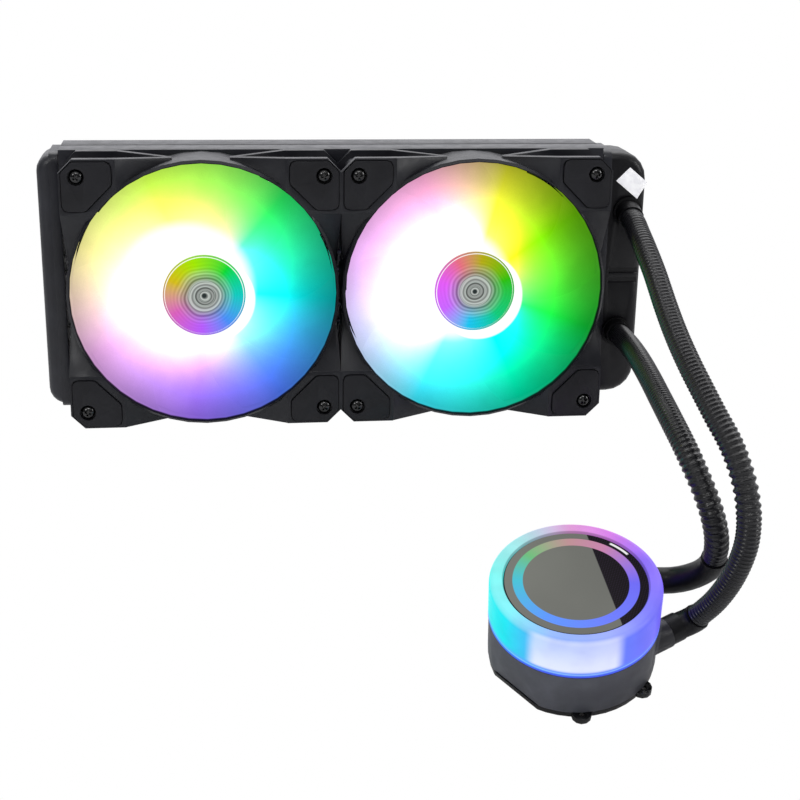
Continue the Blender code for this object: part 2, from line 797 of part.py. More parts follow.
def fan_frame():
    outline = fan_outline()
    barrel = FAN_BORE_RADIUS + FAN_BARREL_WALL
    rim = FAN_DEPTH - 0.4
    barrel_profile = [
        (0.0, 1.0),
        (barrel, 1.0),
        (barrel, rim - FAN_BARREL_CHAMFER),
        (barrel - FAN_BARREL_CHAMFER, rim),
        (0.0, rim),
    ]
    posts = [
        cylinder(FAN_POST_RADIUS, 2.0, FAN_DEPTH - 2.0, SMALL, x * HOLE_REACH, y * HOLE_REACH)
        for x, y in CORNERS.values()
    ]
    sides = [
        moved(
            box(
                -FAN_WAIST_START,
                FAN_WAIST_START,
                FAN_FLANGE_ROOT,
                FAN_SIZE,
                -1.0,
                FAN_DEPTH + 1.0,
            ),
            Matrix.Rotation(k * pi / 2, 4, "Z"),
        )
        for k in range(4)
    ]
    plates = together([slab(outline, FAN_DEPTH - FAN_PLATE, FAN_DEPTH), slab(outline, 0.0, FAN_PLATE)])
    body = fused(
        cut(plates, together(sides)),
        turned(barrel_profile, WIDE),
        fan_flanges(outline),
        together(posts),
    )
    body = cut(body, cylinder(FAN_BORE_RADIUS, -1.0, FAN_DEPTH + 1.0, WIDE))
    struts = []
    for i in range(4):
        bar = box(
            MOTOR_BASE_RADIUS - 4.0,
            FAN_BORE_RADIUS + 1.0,
            -STRUT_WIDTH / 2,
            STRUT_WIDTH / 2,
            0.3,
            0.3 + STRUT_THICK,
        )
        struts.append(moved(bar, Matrix.Rotation(radians(STRUT_TURN) + i * pi / 2, 4, "Z")))
    body = fused(
        body,
        together(struts),
        cylinder(MOTOR_BASE_RADIUS, 0.2, 2.6, MEDIUM),
        cylinder(BEARING_TUBE_RADIUS, 1.0, BEARING_TUBE_TOP, NARROW),
    )
    drills = [
        cylinder(FAN_HOLE_RADIUS, -1.0, FAN_DEPTH + 1.0, SMALL, x * HOLE_REACH, y * HOLE_REACH)
        for x, y in CORNERS.values()
    ]
    floor = FAN_DEPTH - (PAD_THICK - PAD_PROUD) - GAP
    pockets = [slab(pad_outline(x, y, GAP), floor, FAN_DEPTH + 1.0) for x, y in CORNERS.values()]
    socket = cylinder(BEARING_BORE + 1.4 + GAP, BEARING_FLOOR, BEARING_TUBE_TOP + 1.0, NARROW)
    return cut(body, together(drills), together(pockets), socket)


def pad(side, height):
    low = FAN_DEPTH - (PAD_THICK - PAD_PROUD)
    body = slab(pad_outline(side, height, 0.0), low, low + PAD_THICK)
    place = (side * HOLE_REACH, height * HOLE_REACH)
    hole = cylinder(PAD_HOLE_RADIUS, low - 1.0, low + PAD_THICK + 1.0, SMALL, *place)
    return cut(body, hole)


def fan_screw(side, height):
    under = FAN_DEPTH - (PAD_THICK - PAD_PROUD)
    top = under + SCREW_HEAD
    profile = [
        (0.0, top),
        (SCREW_HEAD_RADIUS * 0.75, top - 0.3),
        (SCREW_HEAD_RADIUS, top - 1.3),
        (SCREW_HEAD_RADIUS, under),
        (SCREW_RADIUS, under),
        (SCREW_RADIUS, SCREW_TIP),
        (0.0, SCREW_TIP),
    ]
    place = Matrix.Translation((side * HOLE_REACH, height * HOLE_REACH, 0.0))
    return moved(turned(profile, SMALL), place)


def blade(index):
    """One fan blade as a sheet from root to tip, thickened."""
    rows = 5
    columns = 5
    root = HUB_RADIUS - 0.7
    bm = bmesh.new()
    grid = []
    for i in range(rows):
        out = i / (rows - 1)
        radius = root + (BLADE_TIP_RADIUS - root) * out
        arc = radians(BLADE_ROOT_ARC + (BLADE_TIP_ARC - BLADE_ROOT_ARC) * out)
        middle = tau * index / BLADE_COUNT + radians(BLADE_SWEEP) * out * out
        line = []
        for j in range(columns):
            run = j / (columns - 1)
            angle = middle + arc * (run - 0.5)
            height = BLADE_FRONT - (BLADE_FRONT - BLADE_REAR) * (1.0 - run) ** BLADE_CAMBER
            line.append(bm.verts.new((radius * cos(angle), radius * sin(angle), height)))
        grid.append(line)
    for i in range(rows - 1):
        for j in range(columns - 1):
            bm.faces.new((grid[i][j], grid[i + 1][j], grid[i + 1][j + 1], grid[i][j + 1]))
    mesh = bpy.data.meshes.new("sheet")
    bm.to_mesh(mesh)
    bm.free()
    thick = evaluated(mesh, [("SOLIDIFY", {"thickness": BLADE_THICK, "offset": 0.0, "use_even_offset": True})])
    bm = bmesh.new()
    bm.from_mesh(thick)
    return shape_from(bm)


def rotor():
    """The fan's hub cup and its blades."""
    recess = HUB_FRONT - CAP_THICK - GAP
    profile = [
        (CAP_RADIUS + GAP, HUB_FRONT),
        (HUB_RADIUS - 0.2, HUB_FRONT),
        (HUB_RADIUS, HUB_FRONT - 0.4),
        (HUB_RADIUS, 17.0),
        (HUB_SKIRT_RADIUS, 13.0),
        (HUB_SKIRT_RADIUS, HUB_REAR),
        (HUB_INNER_RADIUS, HUB_REAR),
        (HUB_INNER_RADIUS, HUB_ROOF),
        (3.6, HUB_ROOF),
        (3.6, 16.8),
        (SHAFT_RADIUS + GAP, 16.8),
        (SHAFT_RADIUS + GAP, recess),
        (CAP_RADIUS + GAP, recess),
    ]
    return fused(turned(profile, MEDIUM), together([blade(i) for i in range(BLADE_COUNT)]))


def ring(inner, outer, low, high, steps):
    return turned([(inner, high), (outer, high), (outer, low), (inner, low)], steps)


def stator(inner, outer, shoe, teeth, tooth, winding, low, high):
    """A ring round the inner radius, with teeth out to shoes and a winding on each tooth."""
    core_ring = ring(inner, inner + 1.8, low, high, NARROW)
    pieces = []
    for i in range(teeth):
        spin = Matrix.Rotation(tau * i / teeth, 4, "Z")
        half = pi / teeth - 0.16
        arc = [
            (outer * cos(a), outer * sin(a)) for a in np.linspace(-half, half, 4)
        ] + [(shoe * cos(a), shoe * sin(a)) for a in np.linspace(half, -half, 4)]
        pieces.append(moved(slab(arc, low, high), spin))
        bar = box(inner + 1.0, shoe + 0.6, -tooth / 2, tooth / 2, low + 0.05, high - 0.05)
        pieces.append(moved(bar, spin))
        coil = box(inner + 2.2, shoe - 0.3, -winding / 2, winding / 2, low - 1.2, high + 1.2)
        pieces.append(moved(coil, spin))
    return fused(core_ring, *pieces)


def build_fan(side, x):
    place = Matrix.Translation((x, FAN_Y, MIDDLE_Z)) @ TO_FRONT
    hold = axis(f"{side}_fan_axis", place)
    name = f"{side}_fan"
    node(f"{name}_frame", fan_frame(), BLACK_PLASTIC, hold)
    node(f"{name}_rotor", rotor(), FROSTED, hold)
    cap_low = HUB_FRONT - CAP_THICK
    node(f"{name}_hub_cap", cylinder(CAP_RADIUS, cap_low, HUB_FRONT, MEDIUM), BLACK_PLASTIC, hold)
    shaft_top = cap_low - GAP - GAP
    shaft_low = BEARING_FLOOR + 2 * GAP
    node(f"{name}_shaft", cylinder(SHAFT_RADIUS, shaft_low, shaft_top, SMALL), STEEL, hold)
    magnet_outer = HUB_INNER_RADIUS - GAP
    magnet = ring(magnet_outer - MAGNET_WALL, magnet_outer, 6.0, 16.5, MEDIUM)
    node(f"{name}_magnet", magnet, MAGNET, hold)
    sleeve_low = BEARING_FLOOR + GAP
    sleeve = ring(BEARING_BORE, BEARING_BORE + 1.4, sleeve_low, sleeve_low + BEARING_LENGTH, SMALL)
    node(f"{name}_bearing", sleeve, BRONZE, hold)
    inner = BEARING_TUBE_RADIUS + GAP
    windings = stator(inner, STATOR_RADIUS, STATOR_RADIUS - 1.6, 4, 3.0, 5.4, 7.2, 13.6)
    node(f"{name}_stator", windings, WINDING, hold)
    board = ring(inner, STATOR_RADIUS + 2.0, 2.9, 4.1, NARROW)
    node(f"{name}_circuit_board", board, BOARD, hold)
    for corner, (right, up) in CORNERS.items():
        node(f"{name}_pad_{corner}", pad(right, up), BLACK_RUBBER, hold)
        node(f"{name}_screw_{corner}", fan_screw(right, up), BLACK_STEEL, hold)


# Pump block, in a frame with Z up its axis from the underside of the cold plate
PUMP = Matrix.Translation((TANK_X + PUMP_BASE[0], *PUMP_BASE[1:])) @ Euler(
    (radians(PUMP_FORWARD), radians(PUMP_LEAN), radians(PUMP_YAW)), "ZXY"
).to_matrix().to_4x4()
UNTURNED = Matrix.Rotation(-radians(PUMP_YAW), 4, "Z")


def port_line(start, turn, rise):
    """Start and direction of a pump port in the pump's frame."""
    turn = radians(turn)
    rise = radians(rise)
    direction = Vector((cos(turn) * cos(rise), sin(turn) * cos(rise), sin(rise)))
    return UNTURNED @ Vector(start), UNTURNED @ direction


PORTS = {
    "front": (
        *port_line(FRONT_PORT, FRONT_PORT_TURN, FRONT_PORT_RISE),
        FRONT_BOSS_RADIUS,
        FRONT_BOSS_END,
        FRONT_BORE_END,
    ),
    "rear": (
        *port_line(REAR_PORT, REAR_PORT_TURN, REAR_PORT_RISE),
        REAR_BOSS_RADIUS,
        REAR_BOSS_END,
        REAR_BORE_END,
    ),
}


def facets(low):
    """Two slabs that flatten the sides of the body, leaning in towards its underside."""
    shapes = []
    reach = 2 * BODY_RADIUS
    for direction in FACET_DIRECTIONS:
        block = box(0.0, reach, -reach, reach, -reach, reach)
        lean = Matrix.Rotation(radians(FACET_SLOPE), 4, "Y")
        out = Matrix.Translation((FACET_DISTANCE, 0.0, low))
        shapes.append(moved(block, Matrix.Rotation(radians(direction), 4, "Z") @ out @ lean))
    return shapes


def cold_plate():
    body = cylinder(COLD_PLATE_RADIUS, 0.0, COLD_PLATE_THICK, WIDE)
    first = -(COLD_FIN_COUNT - 1) * COLD_FIN_PITCH / 2
    fins = [
        box(
            first + i * COLD_FIN_PITCH - COLD_FIN_SHEET / 2,
            first + i * COLD_FIN_PITCH + COLD_FIN_SHEET / 2,
            -COLD_FIN_LENGTH / 2,
            COLD_FIN_LENGTH / 2,
            COLD_PLATE_THICK - 0.5,
            COLD_FIN_TOP,
        )
        for i in range(COLD_FIN_COUNT)
    ]
    return fused(body, together(fins))


def bracket():
    low = COLD_PLATE_THICK + GAP
    disc = cylinder(BRACKET_RADIUS, low, BRACKET_TOP, WIDE)
    disc = cut(disc, *facets(low))
    lugs = []
    holes = []
    for side in (-90.0, 90.0):
        for turn in (-LUG_TURN, LUG_TURN):
            angle = radians(side + turn)
            lugs.append(
                cylinder(
                    LUG_RADIUS, low, BRACKET_TOP, SMALL, LUG_CENTRE * cos(angle), LUG_CENTRE * sin(angle)
                )
            )
            holes.append(
                cylinder(
                    LUG_HOLE,
                    low - 1.0,
                    BRACKET_TOP + 1.0,
                    SMALL,
                    LUG_HOLE_CENTRE * cos(angle),
                    LUG_HOLE_CENTRE * sin(angle),
                )
            )
    body = fused(disc, together(lugs))
    return cut(body, together(holes), cylinder(BRACKET_OPENING, low - 1.0, BRACKET_TOP + 1.0, MEDIUM))


def housing():
    low = BRACKET_TOP + GAP
    body = cut(cylinder(BODY_RADIUS, low, BODY_TOP, WIDE), *facets(low))
    bosses = []
    bores = []
    for start, direction, radius, end, inner in PORTS.values():
        bosses.append(along(cylinder(radius, 0.0, 12.0 + end, NARROW), start - direction * 12.0, direction))
        inside = start + direction * inner
        bores.append(along(cylinder(PORT_BORE, 0.0, end - inner + 2.0, SMALL), inside, direction))
        flat = Vector((inside.x, inside.y, 0.0))
        foot = flat.normalized() * CHANNEL_FOOT_RADIUS
        foot.z = CHAMBER_TOP - 2.0
        top = inside + (inside - foot).normalized() * 1.5
        bores.append(along(cylinder(PORT_BORE - 0.3, 0.0, (top - foot).length, SMALL), foot, top - foot))
    body = fused(body, *bosses)
    chambers = turned(
        [
            (0.0, VOLUTE_TOP),
            (VOLUTE_RADIUS, VOLUTE_TOP),
            (VOLUTE_RADIUS, CHAMBER_TOP),
            (CHAMBER_RADIUS, CHAMBER_TOP),
            (CHAMBER_RADIUS, low - 2.0),
            (0.0, low - 2.0),
        ],
        MEDIUM,
    )
    motor = turned(
        [
            (0.0, BODY_TOP + 2.0),
            (BOARD_POCKET_RADIUS, BODY_TOP + 2.0),
            (BOARD_POCKET_RADIUS, BOARD_SEAT),
            (MOTOR_RADIUS, BOARD_SEAT),
            (MOTOR_RADIUS, MOTOR_FLOOR),
            (0.0, MOTOR_FLOOR),
        ],
        MEDIUM,
    )
    middle = cylinder(CAN_RADIUS + GAP, VOLUTE_TOP - 2.0, MOTOR_FLOOR + 2.0, NARROW)
    return cut(body, chambers, motor, middle, *bores)


def rotor_can():
    low = VOLUTE_TOP - GAP - CAN_FLANGE
    inner = CAN_RADIUS - CAN_WALL
    profile = [
        (0.0, CAN_TOP),
        (CAN_RADIUS, CAN_TOP),
        (CAN_RADIUS, low + CAN_FLANGE),
        (CAN_FLANGE_RADIUS, low + CAN_FLANGE),
        (CAN_FLANGE_RADIUS, low),
        (inner, low),
        (inner, CAN_TOP - CAN_WALL),
        (0.0, CAN_TOP - CAN_WALL),
    ]
    return turned(profile, NARROW)


def impeller():
    top = CAN_TOP - CAN_WALL - GAP
    magnet = CAN_RADIUS - CAN_WALL - 2 * GAP
    bore = 1.0 + GAP
    profile = [
        (bore, top),
        (magnet, top),
        (magnet, 12.6),
        (4.2, 12.2),
        (4.2, 10.4),
        (11.5, 10.4),
        (11.5, 9.2),
        (4.2, 9.2),
        (4.2, 7.0),
        (bore, 7.0),
    ]
    vanes = []
    for i in range(6):
        vane = box(3.2, 11.4, -0.6, 0.6, 7.1, 9.6)
        vanes.append(moved(vane, Matrix.Rotation(tau * i / 6, 4, "Z")))
    return fused(turned(profile, NARROW), together(vanes))


def pump_stator():
    """Laminations round the can with six teeth, a winding on each."""
    low = MOTOR_FLOOR + 1.6
    high = BOARD_SEAT - 1.6
    inner = CAN_RADIUS + 2 * GAP
    outer = MOTOR_RADIUS - GAP
    pieces = []
    for i in range(6):
        spin = Matrix.Rotation(tau * i / 6, 4, "Z")
        tooth = box(inner + 0.3, outer - 1.5, -1.8, 1.8, low + 0.1, high - 0.1)
        coil = box(inner + 1.6, outer - 3.4, -2.9, 2.9, low - 1.2, high + 1.2)
        pieces += [moved(tooth, spin), moved(coil, spin)]
    return fused(ring(outer - 3.0, outer, low, high, MEDIUM), *pieces)


def diffuser_ring():
    low = BODY_TOP + GAP
    inner = RING_RADIUS - RING_WALL
    lip = DISC_RADIUS + GAP
    profile = [
        (lip + 0.6, RING_TOP),
        (RING_RADIUS - 2.0, RING_TOP),
        (RING_RADIUS - 0.7, RING_TOP - 0.6),
        (RING_RADIUS, RING_TOP - 2.0),
        (RING_RADIUS, low),
        (inner, low),
        (inner, RING_LIP_UNDER),
        (lip, RING_LIP_UNDER),
        (lip, RING_TOP - 0.6),
    ]
    return turned(profile, WIDE)


def light_guide():
    low = BODY_TOP + GAP
    outer = RING_RADIUS - RING_WALL - GAP
    profile = [
        (GUIDE_RADII[0], DISC_BOTTOM - GAP),
        (GUIDE_RADII[1], DISC_BOTTOM - GAP),
        (GUIDE_RADII[1], GUIDE_TOP),
        (outer, GUIDE_TOP),
        (outer, low),
        (outer - 1.8, low),
        (outer - 1.8, GUIDE_TOP - 1.8),
        (12.0, GUIDE_TOP - 1.8),
        (12.0, GUIDE_TOP),
        (GUIDE_RADII[0], GUIDE_TOP),
    ]
    return turned(profile, MEDIUM)


def elbow(port, line, straight, reach):
    """The middle line of a fitting from a pump port to the end of a hose."""
    start, direction, _, end, _ = PORTS[port]
    begin = PUMP @ (start + direction * (end + GAP))
    leave = (PUMP.to_3x3() @ direction).normalized()
    arrive = heading(line[-2], line[-1])
    finish = Vector(line[-1]) + arrive * (GAP + 1.0)
    first = begin + leave * straight
    points = [begin]
    for i in range(9):
        t = i / 8
        here = (
            (1 - t) ** 3 * first
            + 3 * (1 - t) ** 2 * t * (first + leave * reach)
            + 3 * (1 - t) * t**2 * (finish + arrive * reach)
            + t**3 * finish
        )
        points.append(here)
    points.append(finish - arrive)
    return points


def pump_fitting(port, line, straight, reach, collar):
    points = elbow(port, line, straight, reach)
    leave = (points[1] - points[0]).normalized()
    last = (points[-1] - points[-2]).normalized()
    body = swept(points, SLEEVE_RADIUS - 0.1, 4)
    if collar:
        body = fused(along(cylinder(COLLAR_RADIUS, 0.0, collar, NARROW), points[0], leave), body)
    bore = [points[0] - leave * 2.0] + points[1:-1] + [points[-1] + last * 2.0]
    return cut(body, swept(bore, SLEEVE_BORE, 2))


# Radiator
node("radiator_core", core(), BLACK_PAINT)
lower = side_channel()
flip = Matrix.Translation((0.0, 0.0, MIDDLE_Z)) @ Matrix.Scale(-1.0, 4, (0.0, 0.0, 1.0))
upper = moved(lower, flip @ Matrix.Translation((0.0, 0.0, -MIDDLE_Z)))
node("radiator_bottom_channel", lower, BLACK_PAINT)
node("radiator_top_channel", upper, BLACK_PAINT)
right_header = header()
node("radiator_left_header", moved(right_header, MIRROR_X), BLACK_PAINT)
node("radiator_right_header", right_header, BLACK_PAINT)
node("radiator_end_tank", moved(tank(END_TANK_LENGTH, END_TANK_CORNER), MIRROR_X), BLACK_PAINT)
hose_tank = tank(HOSE_TANK_LENGTH, HOSE_TANK_CORNER)
seats = []
for line in (OUTER_LINE, INNER_LINE):
    centre = port_centre(line)
    seat = cylinder(PORT_SPIGOT_RADIUS + GAP, -4.0, 8.0, SMALL)
    seats.append(along(seat, (centre.x, TANK_FRONT_Y, centre.z), (0.0, 1.0, 0.0)))
grooves = [
    box(
        TANK_X + HEADER_RIM_DEPTH,
        TANK_X + HOSE_TANK_LENGTH + 2.0,
        TANK_FRONT_Y - 2.0,
        TANK_FRONT_Y + GROOVE_DEPTH,
        top - GROOVE_HEIGHT,
        top,
    )
    for top in GROOVE_TOPS
]
node("radiator_hose_tank", cut(hose_tank, together(seats), together(grooves)), BLACK_PAINT)
node("radiator_upper_port", port_fitting(OUTER_LINE), BLACK_PLASTIC)
node("radiator_lower_port", port_fitting(INNER_LINE), BLACK_PLASTIC)

# Fans
build_fan("left", -FAN_SIZE / 2)
build_fan("right", FAN_SIZE / 2)

# Pump
pump_axis = axis("pump_axis", PUMP)
node("pump_cold_plate", cold_plate(), COPPER, pump_axis)
node("pump_bracket", bracket(), BLACK_STEEL, pump_axis)
seal_outer = BRACKET_OPENING - GAP
seal = ring(seal_outer - SEAL_WALL, seal_outer, COLD_PLATE_THICK + GAP, BRACKET_TOP, MEDIUM)
node("pump_seal", seal, BLACK_RUBBER, pump_axis)
node("pump_housing", housing(), BLACK_PLASTIC, pump_axis)
node("pump_rotor_can", rotor_can(), BLACK_PLASTIC, pump_axis)
node("pump_impeller", impeller(), MAGNET, pump_axis)
pin_top = CAN_TOP - CAN_WALL - GAP
node("pump_shaft", cylinder(1.0, COLD_FIN_TOP + GAP, pin_top, SMALL), STEEL, pump_axis)
node("pump_stator", pump_stator(), WINDING, pump_axis)
board_low = BOARD_SEAT + GAP
board_disc = cylinder(BOARD_POCKET_RADIUS - 2 * GAP, board_low, board_low + 1.4, MEDIUM)
node("pump_circuit_board", board_disc, BOARD, pump_axis)
node("pump_diffuser_ring", diffuser_ring(), DIFFUSER, pump_axis)
node("pump_light_guide", light_guide(), DIFFUSER, pump_axis)
node("pump_top_disc", cylinder(DISC_RADIUS, DISC_BOTTOM, DISC_TOP, WIDE), MIRROR_PLASTIC, pump_axis)
front_fitting = pump_fitting("front", OUTER_LINE, FRONT_STRAIGHT, 3.6, COLLAR_LENGTH)
node("pump_front_fitting", front_fitting, BLACK_PLASTIC)
rear_fitting = pump_fitting("rear", INNER_LINE, REAR_STRAIGHT, 9.0, 0.0)
node("pump_rear_fitting", rear_fitting, BLACK_PLASTIC)

# Hoses
for name, line in (("outer_hose", OUTER_LINE), ("inner_hose", INNER_LINE)):
    node(name, swept(line, HOSE_DIAMETER / 2, 4), HOSE_SLEEVE)
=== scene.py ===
"""All in one liquid cooler: radiator, two lit fans, two ribbed hoses and a pump block with a lit ring.

Lengths are in millimetres in the part's frame: +X is to the right, the fans face -Y and +Z is up.
mm() turns a point into metres.
"""

import json

from math import cos, pi, radians, sin, tau

import bmesh
import bpy
import numpy as np
from mathutils import Matrix, Vector

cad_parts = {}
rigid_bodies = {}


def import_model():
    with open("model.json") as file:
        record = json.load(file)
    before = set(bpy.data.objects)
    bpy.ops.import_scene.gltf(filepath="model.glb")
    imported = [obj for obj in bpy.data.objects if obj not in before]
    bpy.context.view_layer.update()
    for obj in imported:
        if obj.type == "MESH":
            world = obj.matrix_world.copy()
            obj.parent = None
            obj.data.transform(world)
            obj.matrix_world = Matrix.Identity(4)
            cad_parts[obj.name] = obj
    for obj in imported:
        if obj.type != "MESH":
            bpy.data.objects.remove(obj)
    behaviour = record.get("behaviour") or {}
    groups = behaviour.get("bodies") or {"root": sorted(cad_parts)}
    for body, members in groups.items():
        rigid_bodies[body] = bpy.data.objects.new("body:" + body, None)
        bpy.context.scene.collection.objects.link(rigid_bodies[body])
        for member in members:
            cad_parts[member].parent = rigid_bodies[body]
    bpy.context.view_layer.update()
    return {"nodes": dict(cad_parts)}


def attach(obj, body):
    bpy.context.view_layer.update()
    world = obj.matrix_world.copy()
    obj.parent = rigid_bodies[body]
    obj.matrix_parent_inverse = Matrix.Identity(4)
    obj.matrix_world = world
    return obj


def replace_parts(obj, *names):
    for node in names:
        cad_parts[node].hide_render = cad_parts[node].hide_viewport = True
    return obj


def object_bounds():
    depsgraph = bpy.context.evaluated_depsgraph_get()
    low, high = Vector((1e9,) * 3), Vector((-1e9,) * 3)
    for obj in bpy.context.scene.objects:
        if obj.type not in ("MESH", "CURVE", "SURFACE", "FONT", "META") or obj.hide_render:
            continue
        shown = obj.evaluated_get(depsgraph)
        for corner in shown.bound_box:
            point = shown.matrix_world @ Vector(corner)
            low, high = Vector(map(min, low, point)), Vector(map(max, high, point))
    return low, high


MM = 0.001

# Camera, fitted to the photograph
EYE = (-55.19, -689.11, 219.66)
AZIMUTH = -7.356
ELEVATION = 18.699
ROLL = 0.982
LENS = 67.05

# Fans
FAN_CENTRES = {"left": (-60.0, 52.5), "right": (60.0, 52.5)}
FAN_REAR = -27.3
FAN_DEPTH = 25.0
BLADE_COUNT = 9
BLADE_ROOT = 17.3
BLADE_TIP = 57.0
BLADE_REAR = 5.6
BLADE_FRONT = 22.8
BLADE_CAMBER = 1.8
BLADE_ROWS = 15
BLADE_COLUMNS = 14
HUB_SIDES = 112
HUB_RIM_FROM = 22.6  # height above the fan's rear where the hub's lit rim begins
SCREW_REACH = 52.5

# Pump: where its base stands, and the directions of its own frame
PUMP_BASE = (93.3, -128.9, -91.5)
PUMP_ALONG = (0.9350, 0.3095, 0.1734)
PUMP_ACROSS = (-0.3471, 0.8987, 0.2679)
PUMP_UP = (-0.0729, -0.3107, 0.9477)
PUMP_SIDES = 144

# Hoses
HOSE_SIDES = 40
HOSE_STEP = 0.24
RIB_CREST = 0.9
OUTER_ROUTE = (
    (134.9, -34.0, 81.1),
    (135.0, -40.3, 79.9),
    (134.8, -46.5, 77.8),
    (134.5, -60.5, 73.0),
    (135.0, -75.5, 65.5),
    (135.5, -92.5, 55.5),
    (136.5, -107.0, 46.8),
    (138.5, -119.5, 38.6),
    (141.5, -130.0, 30.4),
    (145.0, -139.0, 22.0),
    (149.0, -147.0, 13.5),
    (152.0, -153.0, 4.5),
    (154.2, -157.0, -5.0),
    (155.5, -159.0, -15.5),
    (155.5, -159.0, -26.0),
    (154.0, -157.0, -36.5),
    (151.5, -153.5, -47.0),
    (148.0, -148.8, -57.0),
    (143.6, -143.2, -66.0),
)
INNER_ROUTE = (
    (132.8, -33.5, 25.8),
    (132.7, -42.5, 26.0),
    (132.6, -54.0, 26.0),
    (132.4, -70.5, 24.7),
    (132.2, -88.5, 21.9),
    (132.4, -104.5, 18.0),
    (133.6, -117.5, 13.0),
    (136.0, -128.5, 6.2),
    (139.0, -136.5, -1.8),
    (142.5, -141.0, -10.5),
    (146.0, -142.5, -19.8),
    (149.0, -141.0, -29.0),
    (151.0, -137.6, -37.0),
    (152.0, -133.5, -44.0),
)
# Distance along the hose, rib pitch, rib depth
OUTER_RIBS = (
    (0, 2.1, 0.44),
    (40, 1.95, 0.46),
    (81, 1.75, 0.48),
    (121, 1.9, 0.52),
    (136, 2.4, 0.62),
    (145, 3.3, 0.95),
    (159, 3.7, 1.0),
    (165, 2.6, 0.62),
    (171, 1.8, 0.44),
    (229, 1.65, 0.4),
)
INNER_RIBS = (
    (0, 2.0, 0.34),
    (40, 1.7, 0.34),
    (66, 1.5, 0.36),
    (86, 1.65, 0.42),
    (98, 2.0, 0.5),
    (108, 2.8, 0.66),
    (118, 3.4, 0.82),
    (140, 3.7, 0.92),
    (149, 3.0, 0.72),
    (155, 2.0, 0.46),
    (160, 1.8, 0.42),
)

for old in list(bpy.data.objects):
    bpy.data.objects.remove(old, do_unlink=True)
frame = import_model()
nodes = frame["nodes"]


def mm(point):
    return tuple(c * MM for c in point)


def rgb(red, green, blue):
    """A colour as the eye sees it, 0 to 255, as linear values."""
    found = []
    for c in (red / 255, green / 255, blue / 255):
        found.append(c / 12.92 if c <= 0.04045 else ((c + 0.055) / 1.055) ** 2.4)
    return tuple(found)


# Materials
class Look:
    """A material, or a world's light, under construction."""

    def __init__(self, name, tree=None):
        self.material = None
        if tree is None:
            self.material = bpy.data.materials.new(name)
            self.material.use_nodes = True
            tree = self.material.node_tree
        self.tree = tree
        self.tree.nodes.clear()
        self.place = None

    def join(self, value, socket):
        if isinstance(value, bpy.types.NodeSocket):
            self.tree.links.new(value, socket)
        elif socket.type == "RGBA" and len(value) == 3:
            socket.default_value = (*value, 1.0)
        else:
            socket.default_value = value

    def add(self, kind, inputs, **settings):
        made = self.tree.nodes.new("ShaderNode" + kind)
        for key, value in settings.items():
            setattr(made, key, value)
        for key, value in dict(inputs).items():
            self.join(value, made.inputs[key])
        return made

    def math(self, operation, *values):
        return self.add("Math", enumerate(values), operation=operation).outputs[0]

    def product(self, first, *others):
        for other in others:
            first = self.math("MULTIPLY", first, other)
        return first

    def position(self):
        if self.place is None:
            self.place = self.add("TexCoord", {}).outputs["Object"]
        return self.place

    def axes(self):
        """The parts of the position along X, Y and Z, in metres."""
        return self.add("SeparateXYZ", {0: self.position()}).outputs

    def noise(self, scale, detail=3.0):
        inputs = {"Vector": self.position(), "Scale": scale, "Detail": detail}
        return self.add("TexNoise", inputs).outputs[0]

    def between(self, value, low, high, at_low=0.0, at_high=1.0, smooth=True):
        kind = "SMOOTHSTEP" if smooth else "LINEAR"
        inputs = {"Value": value, 1: low, 2: high, 3: at_low, 4: at_high}
        return self.add("MapRange", inputs, interpolation_type=kind).outputs[0]

    def uneven(self, scale, low, high, detail=3.0):
        """A value that drifts between low and high over the surface."""
        return self.between(self.noise(scale, detail), 0.3, 0.7, low, high)

    def ramp(self, where, stops):
        made = self.add("ValToRGB", {"Fac": where})
        band = made.color_ramp
        band.interpolation = "LINEAR"
        while len(band.elements) < len(stops):
            band.elements.new(0.5)
        for element, (at, _) in zip(band.elements, stops):
            element.position = at
        for element, (_, colour) in zip(band.elements, stops):
            element.color = (*colour, 1.0)
        return made.outputs["Color"]

    def blend(self, amount, first, second, kind="MIX"):
        inputs = {0: amount, 6: first, 7: second}
        return self.add("Mix", inputs, data_type="RGBA", blend_type=kind).outputs[2]

    def tint(self, first, second):
        return self.blend(1.0, first, second, "MULTIPLY")

    def grey(self, value):
        return self.add("CombineColor", {0: value, 1: value, 2: value}).outputs[0]

    def bump(self, height, strength, distance):
        inputs = {"Height": height, "Strength": strength, "Distance": distance}
        return self.add("Bump", inputs).outputs[0]

    def surface(self, **inputs):
        named = {key.replace("_", " "): value for key, value in inputs.items()}
        shader = self.add("BsdfPrincipled", named).outputs[0]
        self.output(shader)
        return self.material

    def output(self, shader):
        kind = "OutputMaterial" if self.material else "OutputWorld"
        self.add(kind, {"Surface": shader})


def dark(name, colour, rough, grain=2600.0, bumps=0.10, sheen=0.5):
    """A dark moulded or painted surface with fine grain and slightly uneven gloss."""
    look = Look(name)
    return look.surface(
        Base_Color=look.tint(colour, look.grey(look.uneven(70.0, 0.82, 1.2, 4.0))),
        Roughness=look.uneven(190.0, rough - 0.05, rough + 0.06),
        Specular_IOR_Level=sheen,
        Normal=look.bump(look.noise(grain, 2.0), bumps, 0.00008),
    )


def metal(name, colour, rough):
    look = Look(name)
    fine = look.noise(900.0, 4.0)
    base = look.blend(look.between(fine, 0.35, 0.65), colour, tuple(c * 0.8 for c in colour))
    return look.surface(
        Base_Color=base,
        Metallic=1.0,
        Roughness=look.uneven(160.0, rough - 0.05, rough + 0.08),
        Normal=look.bump(fine, 0.08, 0.00005),
    )


def circuit(name):
    look = Look(name)
    mask = look.between(look.noise(420.0, 1.0), 0.52, 0.54)
    base = look.blend(mask, rgb(22, 34, 30), rgb(58, 78, 60))
    return look.surface(Base_Color=base, Roughness=0.42, Normal=look.bump(mask, 0.2, 0.00004))


